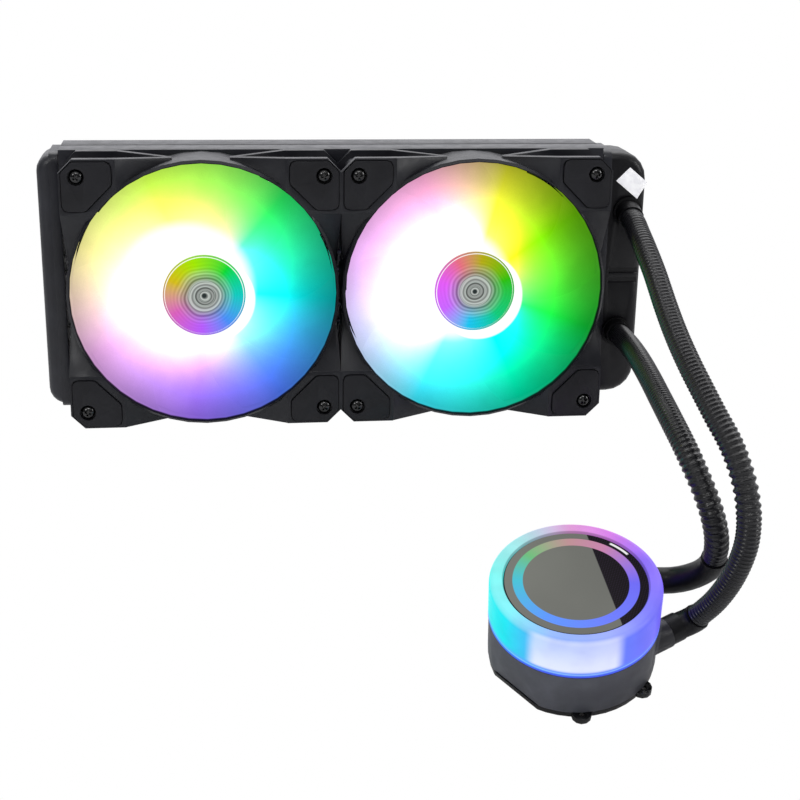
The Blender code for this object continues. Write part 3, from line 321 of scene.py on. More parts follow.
def winding(name):
    """Enamelled wire, its turns drawn as fine waves along Y."""
    look = Look(name)
    waves = 16000.0
    turns = look.math("SINE", look.product(look.axes()[1], waves))
    base = look.blend(look.between(turns, -1.0, 1.0), rgb(96, 44, 18), rgb(196, 112, 58))
    return look.surface(
        Base_Color=base,
        Metallic=0.8,
        Roughness=0.35,
        Normal=look.bump(turns, 0.4, 0.0001),
    )


def offsets(look, centre):
    """Offsets right and up from a fan's axis in millimetres."""
    across, _, rise = look.axes()
    found = []
    for value, middle in zip((across, rise), centre):
        found.append(look.product(look.math("SUBTRACT", value, middle * MM), 1000.0))
    return found


def length(look, right, rise):
    squares = look.math("ADD", look.product(right, right), look.product(rise, rise))
    return look.math("SQRT", squares)


def turn(look, right, rise):
    """Angle around, as 0 at -180 degrees to 1 at 180 degrees."""
    return look.math("ADD", look.math("DIVIDE", look.math("ARCTAN2", rise, right), tau), 0.5)


def polar(look, centre):
    """Distance from a fan's axis in millimetres, and turn around it from 0 to 1."""
    right, rise = offsets(look, centre)
    return length(look, right, rise), turn(look, right, rise)


def distance(look, spot, middle):
    """Distance in millimetres of a spot from a point beside a fan's axis."""
    return length(look, *(look.math("SUBTRACT", value, off) for value, off in zip(spot, middle)))


def wheel(*stops):
    """Ramp stops from (degrees, colour) pairs, closed at the seam."""
    places = sorted(((degrees + 180.0) / 360.0, rgb(*colour)) for degrees, colour in stops)
    first, last = places[0], places[-1]
    gap = first[0] + 1.0 - last[0]
    share = (1.0 - last[0]) / gap
    seam = tuple(a + (b - a) * share for a, b in zip(last[1], first[1]))
    return [(0.0, seam), *places, (1.0, seam)]


BLACK_PLASTIC = rgb(27, 28, 35)
BLADE_COLOURS = {
    "left": wheel(
        (-150, (220, 165, 220)),
        (-95, (150, 110, 235)),
        (-55, (75, 115, 230)),
        (-5, (5, 160, 160)),
        (50, (40, 200, 85)),
        (115, (200, 245, 80)),
        (160, (245, 235, 155)),
    ),
    "right": wheel(
        (-150, (205, 220, 255)),
        (-115, (60, 225, 245)),
        (-65, (0, 205, 155)),
        (-20, (15, 175, 50)),
        (35, (90, 160, 5)),
        (75, (180, 180, 40)),
        (115, (225, 155, 190)),
        (165, (240, 185, 250)),
    ),
}
HUB_COLOURS = {
    "left": wheel(
        (-150, (215, 95, 185)),
        (-95, (180, 90, 250)),
        (-50, (70, 140, 245)),
        (0, (0, 200, 190)),
        (50, (10, 215, 50)),
        (105, (160, 230, 0)),
        (155, (210, 185, 20)),
    ),
    "right": wheel(
        (-150, (200, 100, 255)),
        (-100, (20, 195, 240)),
        (-45, (0, 200, 120)),
        (20, (40, 190, 0)),
        (80, (180, 170, 20)),
        (120, (230, 110, 130)),
        (165, (225, 90, 245)),
    ),
}
WHITE = (1.0, 1.0, 1.0)
FULL_WHITE = (1.08, 1.08, 1.08)  # the brightest that a blade shows
# The blades show the colours above at LIT_RADIUS, and are brighter nearer the hub
LIT_RADIUS = 53.4
LIT_NEAREST = 20.0
LIT_FALL = 3.0
# Sideways and upward run of the light per millimetre of depth, how it narrows towards the rear,
# and the depth behind the fan's front where it lies on the fan's axis
GLOW_LEAN = {"left": (-0.01, -0.259), "right": (0.177, -0.259)}
GLOW_TAPER = 0.0015
GLOW_DEPTH = 10.3
# The whitest light: two circles beside the axis, with the middle and the soft edge of each
CRESCENT = {"left": (2.3, -4.1), "right": (3.6, -4.8)}
CRESCENT_EDGE = (19.7, 20.6)
CORE = (-8.0, 1.0)
CORE_EDGE = {"left": (25.5, 32.0), "right": (21.0, 28.0)}
# Light painted on the bore as a glow: the distances from the axis between which it comes and goes,
# and the heights above the fan's rear between which it fades towards the front
BORE_GLOW = (57.5, 57.8, 58.1, 58.25)
BORE_FADE = (23.0, 21.0)
# The hub cap's turned rings, in radians per millimetre, and its pale bands, both painted into the cap's
# glow
FINE_RINGS = 4.2
BROAD_RINGS = 1.25
HUB_BANDS = ((6.5, 7.1), (4.2, 4.6), (2.4, 2.7))


def leaning(look, side):
    """Offsets right and up from a fan's axis in millimetres, followed along the light to one depth."""
    level = FAN_REAR - FAN_DEPTH + GLOW_DEPTH
    depth = look.math("SUBTRACT", look.product(look.axes()[1], 1000.0), level)
    taper = look.math("SUBTRACT", 1.0, look.product(depth, GLOW_TAPER))
    found = []
    for value, lean in zip(offsets(look, FAN_CENTRES[side]), GLOW_LEAN[side]):
        found.append(look.math("SUBTRACT", look.product(value, taper), look.product(depth, lean)))
    return found


def lit_strength(look, out):
    nearness = look.math("DIVIDE", LIT_RADIUS, look.math("MAXIMUM", out, LIT_NEAREST))
    return look.math("POWER", nearness, LIT_FALL)


def blade_plastic(side):
    """Frosted plastic that glows in its fan's colours, and white beside the hub."""
    look = Look(side + "_lit_frosted_plastic")
    spot = leaning(look, side)
    colour = look.ramp(turn(look, *spot), BLADE_COLOURS[side])
    haze = look.uneven(70.0, 0.95, 1.05, 4.0)
    grain = look.uneven(2200.0, 0.975, 1.025, 2.0)
    strength = look.product(lit_strength(look, length(look, *spot)), haze, grain)
    bright = look.add("VectorMath", {0: colour, "Scale": strength}, operation="SCALE").outputs[0]
    bright = look.add("VectorMath", {0: bright, 1: FULL_WHITE}, operation="MINIMUM").outputs[0]
    crescent = look.between(distance(look, spot, CRESCENT[side]), *CRESCENT_EDGE, 1.0, 0.0)
    core = look.between(distance(look, spot, CORE), *CORE_EDGE[side], 1.0, 0.0)
    return look.surface(
        Base_Color=look.tint(colour, (0.03, 0.03, 0.03)),
        Roughness=0.5,
        Specular_IOR_Level=0.05,
        Emission_Color=look.blend(look.math("MAXIMUM", crescent, core), bright, FULL_WHITE),
        Emission_Strength=1.0,
        Normal=look.bump(look.noise(1200.0), 0.05, 0.0001),
    )


def frame_plastic(side):
    """Moulded black plastic, with the blades' light painted on its bore as a glow behind its front edge.
    """
    look = Look(side + "_frame_plastic")
    out, around = polar(look, FAN_CENTRES[side])
    start, full, fading, end = BORE_GLOW
    # Painted light: the blades' glow on the bore, fading towards the front
    glowing_bore = look.product(look.between(out, start, full), look.between(out, end, fading))
    deep = look.between(look.axes()[1], *((FAN_REAR - height) * MM for height in BORE_FADE))
    return look.surface(
        Base_Color=look.tint(BLACK_PLASTIC, look.grey(look.uneven(70.0, 0.84, 1.16, 4.0))),
        Roughness=look.uneven(190.0, 0.36, 0.46),
        Specular_IOR_Level=look.between(glowing_bore, 0.0, 1.0, 0.5, 0.04),
        Emission_Color=look.ramp(around, BLADE_COLOURS[side]),
        Emission_Strength=look.product(glowing_bore, deep, 0.75),
        Normal=look.bump(look.noise(2600.0, 2.0), 0.1, 0.00008),
    )


def hub_plastic(side):
    """The mirror-smooth cap on a fan's hub, with fine turned rings in its middle, painted as a glow: the
    fan's colours around it, grey rings with pale bands within and a bright edge.
    """
    look = Look(side + "_glowing_hub_cap")
    out, around = polar(look, FAN_CENTRES[side])
    colour = look.ramp(around, HUB_COLOURS[side])
    waver = look.product(look.math("SUBTRACT", look.noise(60.0, 1.0), 0.5), 5.0)
    wavering = look.math("ADD", out, waver)
    fine = look.math("SINE", look.product(wavering, FINE_RINGS))
    broad = look.math("SINE", look.product(wavering, BROAD_RINGS))
    fine_shade = look.between(fine, -1.0, 1.0, 0.0, 0.14)
    shade = look.math("ADD", fine_shade, look.between(broad, -1.0, 1.0, 0.15, 0.34))
    middle = look.tint(look.grey(shade), (0.93, 1.0, 0.95))
    lit = look.blend(look.between(out, 5.0, 14.0), middle, colour)
    depth = look.between(out, 4.0, 17.0, 0.26, 0.02)
    lit = look.tint(lit, look.grey(look.math("ADD", 1.0, look.product(depth, fine))))
    ripple = look.math("ADD", out, look.product(waver, 0.4))
    for near, far in HUB_BANDS:
        half = 0.5 * (near + far)
        band = look.product(look.between(ripple, near, half), look.between(ripple, far, half))
        lit = look.blend(look.product(band, 0.7), lit, (0.62, 0.72, 0.66))
    lit = look.blend(look.between(out, 1.5, 0.7), lit, (0.02, 0.03, 0.03))
    lit = look.blend(look.between(out, 17.0, 17.1), lit, look.blend(0.85, colour, WHITE))
    return look.surface(
        Base_Color=look.tint(lit, (0.06, 0.06, 0.06)),
        Roughness=0.2,
        Specular_IOR_Level=0.15,
        Emission_Color=lit,
        Emission_Strength=look.between(out, 0.0, 15.0, 0.9, 0.98),
        Normal=look.bump(fine, 0.12, 0.0001),
    )


def rim_plastic(side):
    """The hub's rim around its cap, painted as a glow: nearly white on the inside and coloured beyond.
    """
    look = Look(side + "_glowing_hub_rim")
    out, around = polar(look, FAN_CENTRES[side])
    colour = look.ramp(around, HUB_COLOURS[side])
    beyond = look.between(out, 17.38, 17.42)
    return look.surface(
        Base_Color=(0.02, 0.02, 0.02),
        Roughness=0.3,
        Emission_Color=look.blend(beyond, look.blend(0.8, colour, WHITE), colour),
        Emission_Strength=look.between(beyond, 0.0, 1.0, 1.05, 0.75),
    )


def pump_place(look):
    """Position in the pump's own frame in millimetres: along, across and height."""
    inputs = {0: look.position(), 1: mm(PUMP_BASE)}
    away = look.add("VectorMath", inputs, operation="SUBTRACT").outputs[0]
    found = []
    for direction in (PUMP_ALONG, PUMP_ACROSS, PUMP_UP):
        dot = look.add("VectorMath", {0: away, 1: direction}, operation="DOT_PRODUCT").outputs["Value"]
        found.append(look.product(dot, 1000.0))
    return found


def diffuser(name):
    """The lit ring: white plastic whose colour turns around it, brightest low at the front."""
    look = Look(name)
    along, across, height = pump_place(look)
    out, around = length(look, along, across), turn(look, along, across)
    side_colours = wheel(
        (-175, (0, 226, 236)),
        (-140, (85, 150, 246)),
        (-75, (104, 112, 246)),
        (-5, (130, 90, 244)),
        (33, (208, 112, 224)),
        (62, (220, 145, 212)),
        (105, (125, 215, 220)),
        (145, (10, 235, 230)),
    )
    colour = look.ramp(around, side_colours)
    top = look.between(height, 44.6, 46.6)
    # The top face is whiter, more so towards the left
    whiter_top = look.product(top, look.between(along, -5.0, 18.0, 0.2, 0.05))
    colour = look.blend(whiter_top, colour, WHITE)
    front = look.product(look.between(around, 0.064, 0.09), look.between(around, 0.259, 0.233))
    band = look.product(look.between(height, 29.2, 30.6), look.between(out, 33.8, 35.6))
    patch = look.product(front, band, look.between(height, 30.0, 46.0, 0.86, 0.58))
    colour = look.blend(patch, colour, rgb(232, 236, 255))
    low = look.between(height, 31.5, 28.8)
    colour = look.blend(look.product(low, 0.55), colour, rgb(96, 140, 250))
    line = look.product(look.between(height, 28.3, 28.6), look.between(height, 29.3, 29.0))
    colour = look.blend(look.product(line, 0.6), colour, rgb(170, 216, 255))
    foot = look.between(height, 28.4, 28.0)
    colour = look.blend(look.product(foot, 0.9), colour, rgb(64, 84, 228))
    # Painted shade: the ring is darker at its inner edge, in the gap beside the disc
    painted_gap_shade = look.between(out, 30.7, 30.4)
    colour = look.blend(look.product(painted_gap_shade, 0.45), colour, (0.04, 0.04, 0.05))
    return look.surface(
        Base_Color=look.tint(colour, (0.10, 0.10, 0.10)),
        Roughness=0.3,
        Specular_IOR_Level=0.16,
        Emission_Color=colour,
        Emission_Strength=look.uneven(90.0, 0.94, 1.05, 2.0),
        Normal=look.bump(look.noise(300.0), 0.04, 0.0001),
    )


def glass_disc(name):
    """The dark mirror disc with a painted reflection, grey on one side of a line and dark with a weave
    beyond it, a painted glint near its rim, and a ring of light that shows through.
    """
    look = Look(name)
    along, across, _ = pump_place(look)
    out, around = length(look, along, across), turn(look, along, across)
    ring_colours = wheel(
        (-150, (92, 146, 244)),
        (-90, (106, 122, 244)),
        (-30, (108, 104, 238)),
        (30, (194, 128, 168)),
        (65, (185, 140, 145)),
        (112, (108, 184, 122)),
        (150, (70, 188, 208)),
    )
    colour = look.ramp(around, ring_colours)
    band = look.product(look.between(out, 21.8, 22.1), look.between(out, 26.4, 26.1))
    # Painted reflection: grey on one side of a slanted line, mottled and fading across the disc, and
    # dark beyond it, where the weave shows
    slant = look.math("SUBTRACT", along, look.product(across, 0.312))
    dark_reflection_side = look.between(slant, 12.2, 12.7)
    tint = look.between(look.noise(24.0, 2.0), 0.35, 0.65, 0.94, 1.06)
    reflection_fade = look.between(look.math("SUBTRACT", across, along), -45.0, 40.0, 0.92, 1.06)
    grey = look.tint(rgb(110, 111, 106), look.grey(look.product(tint, reflection_fade)))
    weave = look.product(*(look.math("SINE", look.product(way, 4.4)) for way in (along, across)))
    dark_reflection_weave = look.blend(look.between(weave, 0.1, 0.5), rgb(14, 11, 15), rgb(34, 24, 40))
    shown = look.blend(dark_reflection_side, grey, dark_reflection_weave)
    bezel = look.between(out, 29.5, 29.7)
    shown = look.blend(bezel, shown, (0.012, 0.012, 0.014))
    # A painted glint: a pale arc near the rim
    painted_glint = look.product(look.between(out, 27.5, 27.8), look.between(out, 28.9, 28.6))
    ends = look.product(look.between(around, 0.519, 0.524), look.between(around, 0.578, 0.573))
    shown = look.blend(look.product(painted_glint, ends), shown, (0.8, 0.8, 0.8))
    shown = look.blend(band, shown, colour)
    return look.surface(
        Base_Color=look.blend(0.86, shown, (0.0, 0.0, 0.0)),
        Roughness=0.3,
        Specular_IOR_Level=0.04,
        Emission_Color=shown,
        Emission_Strength=0.98,
    )


def housing_plastic(name):
    """Satin grey, darker on the hose inlets that stand out from the round body, and with a painted
    highlight that makes the body lighter towards its left.
    """
    look = Look(name)
    along, across, _ = pump_place(look)
    outside = look.between(length(look, along, across), 36.6, 37.2)
    inlets = look.product(outside, look.between(along, 15.0, 19.0))
    # Painted highlight: the body is lighter towards its left and darker towards its right
    body = look.blend(look.between(along, -34.0, 30.0), rgb(104, 106, 114), rgb(66, 67, 74))
    base = look.blend(inlets, body, rgb(32, 32, 37))
    return look.surface(
        Base_Color=look.tint(base, look.grey(look.uneven(70.0, 0.84, 1.16, 4.0))),
        Roughness=look.uneven(190.0, 0.37, 0.48),
        Specular_IOR_Level=0.5,
        Normal=look.bump(look.noise(2200.0, 2.0), 0.08, 0.00008),
    )


def sleeve(name):
    """The black ribbed skin of the hoses."""
    look = Look(name)
    weave = look.noise(2400.0, 2.0)
    return look.surface(
        Base_Color=look.tint(rgb(23, 23, 27), look.grey(look.uneven(120.0, 0.8, 1.25))),
        Roughness=look.between(weave, 0.3, 0.7, 0.27, 0.31),
        Specular_IOR_Level=0.58,
        Normal=look.bump(weave, 0.01, 0.0001),
    )


# Paper with a painted glow at half its colour, which keeps the label white
def paper(name):
    look = Look(name)
    base = look.blend(look.between(look.noise(500.0), 0.4, 0.6), rgb(238, 238, 242), rgb(250, 250, 252))
    return look.surface(
        Base_Color=base,
        Roughness=0.55,
        Emission_Color=base,
        Emission_Strength=0.5,
        Normal=look.bump(look.noise(200.0), 0.15, 0.0002),
    )


LOOKS = {
    "black_plastic": dark("moulded_black_plastic", BLACK_PLASTIC, 0.40),
    "black_paint": dark("satin_black_paint", rgb(38, 39, 46), 0.36, 3400.0, 0.12),
    "black_rubber": dark("matt_black_rubber", rgb(29, 29, 34), 0.52, 2000.0, 0.14, 0.4),
    "black_steel": dark("black_plated_steel", rgb(5, 5, 7), 0.11, 1600.0, 0.0, 0.8),
    "dark_gloss_plastic": glass_disc("dark_mirror_plastic"),
    "diffuser_plastic": diffuser("lit_diffuser_plastic"),
    "frosted_plastic": blade_plastic("left"),
    "hose_sleeve": sleeve("ribbed_hose_sleeve"),
    "steel": metal("bright_steel", rgb(186, 186, 190), 0.25),
    "magnet_ferrite": dark("ferrite", rgb(56, 56, 60), 0.5, 1200.0, 0.2),
    "bronze": metal("sintered_bronze", rgb(176, 128, 74), 0.4),
    "copper": metal("machined_copper", rgb(206, 126, 88), 0.22),
    "winding_wire": winding("enamelled_wire"),
    "circuit_board": circuit("circuit_board_lacquer"),
}
BLADES = {"left": LOOKS["frosted_plastic"], "right": blade_plastic("right")}
HUBS = {side: hub_plastic(side) for side in FAN_CENTRES}
RIMS = {side: rim_plastic(side) for side in FAN_CENTRES}
PORT = dark("port_plastic", rgb(11, 11, 14), 0.4, sheen=0.3)
# Solids with a look of their own
TONES = {
    "left_fan_frame": frame_plastic("left"),
    "right_fan_frame": frame_plastic("right"),
    "pump_housing": housing_plastic("satin_pump_housing"),
    "radiator_end_tank": dark("end_tank_paint", rgb(46, 47, 54), 0.36, 3400.0, 0.12),
    "radiator_hose_tank": dark("hose_tank_paint", rgb(15, 15, 20), 0.38, 3400.0, 0.10, 0.4),
    "pump_front_fitting": PORT,
    "pump_rear_fitting": PORT,
    "radiator_upper_port": PORT,
    "radiator_lower_port": PORT,
}
PAPER = paper("glowing_label_paper")


# Shapes
def piece(name, verts, faces, look, body, slot, sharp=38.0):
    """A shown piece from points in millimetres."""
    mesh = bpy.data.meshes.new(name)
    mesh.from_pydata([mm(v) for v in verts], [], faces)
    bm = bmesh.new()
    bm.from_mesh(mesh)
    bmesh.ops.remove_doubles(bm, verts=bm.verts, dist=2e-6)
    bmesh.ops.recalc_face_normals(bm, faces=bm.faces)
    bm.to_mesh(mesh)
    bm.free()
    mesh.shade_smooth()
    mesh.set_sharp_from_angle(angle=radians(sharp))
    mesh.materials.append(look)
    obj = bpy.data.objects.new(name, mesh)
    bpy.context.scene.collection.objects.link(obj)
    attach(obj, body)
    return obj


def lathe(profile, sides, place):
    """Points and faces of a closed profile of (radius, height) turned about the Z axis of place."""
    verts, faces = [], []
    for k in range(sides):
        turned = tau * k / sides
        verts += [tuple(place @ Vector((r * cos(turned), r * sin(turned), z))) for r, z in profile]
    count = len(profile)
    for k in range(sides):
        here, ahead = k * count, (k + 1) % sides * count
        for i in range(count):
            j = (i + 1) % count
            faces.append((here + i, ahead + i, ahead + j, here + j))
    return verts, faces


def grid_solid(front, back):
    """A closed sheet between two grids of points of the same shape."""
    rows, columns = front.shape[:2]
    verts = [tuple(p) for p in front.reshape(-1, 3)] + [tuple(p) for p in back.reshape(-1, 3)]
    size = rows * columns
    faces = []
    for i in range(rows - 1):
        for j in range(columns - 1):
            a, b = i * columns + j, (i + 1) * columns + j
            faces.append((a, b, b + 1, a + 1))
            faces.append((size + a, size + a + 1, size + b + 1, size + b))
    edge = [i * columns for i in range(rows)]
    edge += [(rows - 1) * columns + j for j in range(1, columns)]
    edge += [i * columns + columns - 1 for i in range(rows - 2, -1, -1)]
    edge += list(range(columns - 2, 0, -1))
    for a, b in zip(edge, edge[1:] + edge[:1]):
        faces.append((a, a + size, b + size, b))
    return verts, faces


def fan_place(side):
    x, z = FAN_CENTRES[side]
    return Matrix.Translation((x, FAN_REAR, z)) @ Matrix.Rotation(pi / 2, 4, "X")


def arc(centre, radius, first, last, steps):
    """Points on a profile's rounded corner, angles in degrees."""
    angles = np.radians(np.linspace(first, last, steps + 1))
    return [(centre[0] + radius * cos(a), centre[1] + radius * sin(a)) for a in angles]


def blades(place):
    """Curved blades that overlap, each a thin sheet that is thicker in its middle."""
    verts, faces = [], []
    rows, columns = BLADE_ROWS, BLADE_COLUMNS
    for index in range(BLADE_COUNT):
        middle_grid = np.zeros((rows, columns, 3))
        for i in range(rows):
            out = i / (rows - 1)
            radius = BLADE_ROOT + (BLADE_TIP - BLADE_ROOT) * out
            arc_width = radians(56.0 + 8.0 * out)
            middle = tau * index / BLADE_COUNT + radians(16.0) * out * out
            for j in range(columns):
                run = j / (columns - 1)
                angle = middle + arc_width * (run - 0.5)
                height = BLADE_FRONT - (BLADE_FRONT - BLADE_REAR) * (1.0 - run) ** BLADE_CAMBER
                middle_grid[i, j] = (radius * cos(angle), radius * sin(angle), height)
        along = np.gradient(middle_grid, axis=0)
        across = np.gradient(middle_grid, axis=1)
        normal = np.cross(along, across)
        normal /= np.linalg.norm(normal, axis=2, keepdims=True)
        run = np.linspace(0.0, 1.0, columns)[None, :, None]
        half = 0.25 + 0.42 * np.sin(np.pi * (0.08 + 0.84 * run))
        found, sides = grid_solid(middle_grid + normal * half, middle_grid - normal * half)
        base = len(verts)
        verts += [tuple(place @ Vector(v)) for v in found]
        faces += [tuple(base + k for k in face) for face in sides]
    return verts, faces


for side in FAN_CENTRES:
    place = fan_place(side)
    body = side + "_fan_rotor"
    made = piece(side + "_fan_blades", *blades(place), BLADES[side], body, "frosted_plastic", 60.0)
    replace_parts(made, body)
    cup = [
        (17.5, 24.5),
        (17.6, 24.5),
        (17.9, 24.4),
        (18.0, 24.1),
        (18.0, 22.9),
        (18.0, 17.2),
        *arc((20.9, 12.4), 0.6, 80, 0, 3),
        (21.5, 5.0),
        (16.5, 5.0),
        (16.5, 21.6),
        (3.6, 21.6),
        (3.6, 16.8),
        (1.8, 16.8),
        (1.8, 23.4),
        (17.5, 23.4),
    ]
    made = piece(side + "_fan_hub", *lathe(cup, HUB_SIDES, place), BLADES[side], body, "frosted_plastic")
    made.data.materials.append(RIMS[side])
    for polygon in made.data.polygons:
        if FAN_REAR - polygon.center.y / MM > HUB_RIM_FROM:
            polygon.material_index = 1
    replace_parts(made, body)
    cap = [(0.0, 24.5), (16.7, 24.5), (17.1, 24.35), (17.2, 24.0), (17.2, 23.7), (0.0, 23.7)]
    made = piece(side + "_fan_cap", *lathe(cap, HUB_SIDES, place), HUBS[side], body, "black_plastic")
    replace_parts(made, side + "_fan_hub_cap")


# Fan screws: radius and height above the fan's rear along the outline, and the cross recess
SCREW_PROFILE = (
    (0.0, 26.3),
    (0.9, 26.24),
    (1.6, 26.02),
    (2.2, 25.66),
    (2.7, 25.18),
    (3.0, 24.68),
    (3.1, 24.2),
    (3.1, 23.8),
    (1.7, 23.8),
    (1.7, -4.0),
    (0.0, -4.0),
)
RECESS_LEVEL = 26.0
RECESS_HEIGHT = 2.2
RECESS_ARMS = ((3.9, 0.95), (0.95, 3.9))
SCREW_TURN = 37.0


def screw_shape():
    """Points and faces of one screw, with the recess cut out."""
    bm = bmesh.new()
    verts, faces = lathe(SCREW_PROFILE, 40, Matrix.Identity(4))
    made = [bm.verts.new(v) for v in verts]
    for face in faces:
        bm.faces.new([made[k] for k in face])
    bmesh.ops.remove_doubles(bm, verts=bm.verts, dist=1e-4)
    bmesh.ops.dissolve_degenerate(bm, dist=1e-4, edges=bm.edges)
    bmesh.ops.recalc_face_normals(bm, faces=bm.faces)
    mesh = bpy.data.meshes.new("screw_blank")
    bm.to_mesh(mesh)
    bm.free()
    blank = bpy.data.objects.new("screw_blank", mesh)
    bpy.context.scene.collection.objects.link(blank)
    cutters = []
    middle = Matrix.Translation((0, 0, RECESS_LEVEL))
    for number, (wide, deep) in enumerate(RECESS_ARMS):
        bm = bmesh.new()
        size = Matrix.Diagonal((wide, deep, RECESS_HEIGHT, 1))
        bmesh.ops.create_cube(bm, size=1.0, matrix=middle @ size)
        for vert in bm.verts:
            if vert.co.z < RECESS_LEVEL:
                vert.co.x *= 0.5 if wide > deep else 0.8
                vert.co.y *= 0.5 if deep > wide else 0.8
        cutter_mesh = bpy.data.meshes.new("screw_cutter")
        bm.to_mesh(cutter_mesh)
        bm.free()
        cutter = bpy.data.objects.new("screw_cutter_%d" % number, cutter_mesh)
        bpy.context.scene.collection.objects.link(cutter)
        recess = blank.modifiers.new("recess", "BOOLEAN")
        recess.object = cutter
        recess.solver = "EXACT"
        cutters.append(cutter)
    graph = bpy.context.evaluated_depsgraph_get()
    cut = bpy.data.meshes.new_from_object(blank.evaluated_get(graph))
    verts = [tuple(v.co) for v in cut.vertices]
    faces = [tuple(p.vertices) for p in cut.polygons]
    for obj in (blank, *cutters):
        bpy.data.objects.remove(obj, do_unlink=True)
    return verts, faces


screw_verts, screw_faces = screw_shape()
number = 0
for side in FAN_CENTRES:
    for across_name, across_sign in (("left", -1), ("right", 1)):
        for up_name, up_sign in (("top", 1), ("bottom", -1)):
            number += 1
            spot = Matrix.Translation((across_sign * SCREW_REACH, up_sign * SCREW_REACH, 0.0))
            place = fan_place(side) @ spot @ Matrix.Rotation(radians(SCREW_TURN * number), 4, "Z")
            verts = [tuple(place @ Vector(v)) for v in screw_verts]
            name = "%s_fan_screw_%s_%s" % (side, up_name, across_name)
            steel = LOOKS["black_steel"]
            made = piece(name + "_cross", verts, screw_faces, steel, "cooler", "black_steel", 30.0)
            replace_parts(made, name)


# Radiator core: flat tubes and fine folded fins
CORE_LOW = 5.8
CORE_HIGH = 99.2
TUBES = 12
TUBE_HALF = 0.9
TUBE_REACH = 121.7
TUBE_FRONT = -22.6
TUBE_BACK = -4.4
FIN_REACH = 121.4
FIN_FRONT = -23.4
FIN_BACK = -3.6
FIN_HALF = 0.06
FIN_FOLDS = 137
FOLD_STEPS = 6
tube_step = (CORE_HIGH - CORE_LOW - 2 * TUBE_HALF) / (TUBES - 1)


def core_tubes():
    verts, faces = [], []
    outline = arc((TUBE_BACK, 0.0), TUBE_HALF, -90, 90, 6)
    outline += arc((TUBE_FRONT, 0.0), TUBE_HALF, 90, 270, 6)
    count = len(outline)
    for row in range(TUBES):
        z = CORE_LOW + TUBE_HALF + row * tube_step
        base = len(verts)
        for x in (-TUBE_REACH, TUBE_REACH):
            verts += [(x, y, z + up) for y, up in outline]
        for i in range(count):
            j = (i + 1) % count
            faces.append((base + i, base + j, base + count + j, base + count + i))
        faces.append(tuple(base + i for i in range(count)))
        faces.append(tuple(base + count + i for i in range(count)))
    return verts, faces


def core_fins():
    """Folded sheet between the tubes, as thin closed ribbons."""
    verts, faces = [], []
    half = FIN_HALF
    xs = np.linspace(-FIN_REACH, FIN_REACH, FIN_FOLDS * FOLD_STEPS + 1)
    phase = (xs + FIN_REACH) / (2 * FIN_REACH) * FIN_FOLDS * tau
    wave = np.clip(1.45 * np.sin(phase), -1.0, 1.0)
    for row in range(TUBES - 1):
        middle = CORE_LOW + TUBE_HALF + (row + 0.5) * tube_step
        reach = tube_step / 2 - TUBE_HALF - half - 0.02
        zs = middle + reach * wave
        slope = np.gradient(zs, xs)
        nx = -slope / np.sqrt(1 + slope**2)
        nz = 1 / np.sqrt(1 + slope**2)
        base = len(verts)
        count = len(xs)
        for y in (FIN_BACK, FIN_FRONT):
            for off in (half, -half):
                verts += [(x + off * a, y, z + off * b) for x, z, a, b in zip(xs, zs, nx, nz)]
        rear_up, rear_low, front_up, front_low = (base + k * count for k in range(4))
        for i in range(count - 1):
            faces.append((rear_up + i, rear_up + i + 1, front_up + i + 1, front_up + i))
            faces.append((rear_low + i, front_low + i, front_low + i + 1, rear_low + i + 1))
            faces.append((rear_up + i, rear_low + i, rear_low + i + 1, rear_up + i + 1))
            faces.append((front_up + i, front_up + i + 1, front_low + i + 1, front_low + i))
        for i in (0, count - 1):
            faces.append((rear_up + i, front_up + i, front_low + i, rear_low + i))
    return verts, faces


tubes = piece("radiator_tubes", *core_tubes(), LOOKS["black_paint"], "cooler", "black_paint")
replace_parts(tubes, "radiator_core")
fins = piece("radiator_fins", *core_fins(), LOOKS["black_paint"], "cooler", "black_paint", 50.0)
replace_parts(fins, "radiator_core")


# Hoses
def smooth_line(route, step):
    """Points every step along a smooth curve through the route, and the distance along it of each."""
    knots = np.array(route)
    ends = np.vstack([2 * knots[0] - knots[1], knots, 2 * knots[-1] - knots[-2]])
    fine = []
    for i in range(1, len(ends) - 2):
        before, here, ahead, after = ends[i - 1 : i + 3]
        for t in np.linspace(0.0, 1.0, 24, endpoint=False):
            fine.append(
                here
                + 0.5 * t * (ahead - before)
                + t * t * (before - 2.5 * here + 2.0 * ahead - 0.5 * after)
                + t**3 * (1.5 * (here - ahead) + 0.5 * (after - before))
            )
    fine.append(knots[-1])
    fine = np.array(fine)
    run = np.concatenate([[0.0], np.cumsum(np.linalg.norm(np.diff(fine, axis=0), axis=1))])
    count = int(round(run[-1] / step))
    wanted = np.linspace(0.0, run[-1], count + 1)
    return np.stack([np.interp(wanted, run, fine[:, k]) for k in range(3)], axis=1), wanted


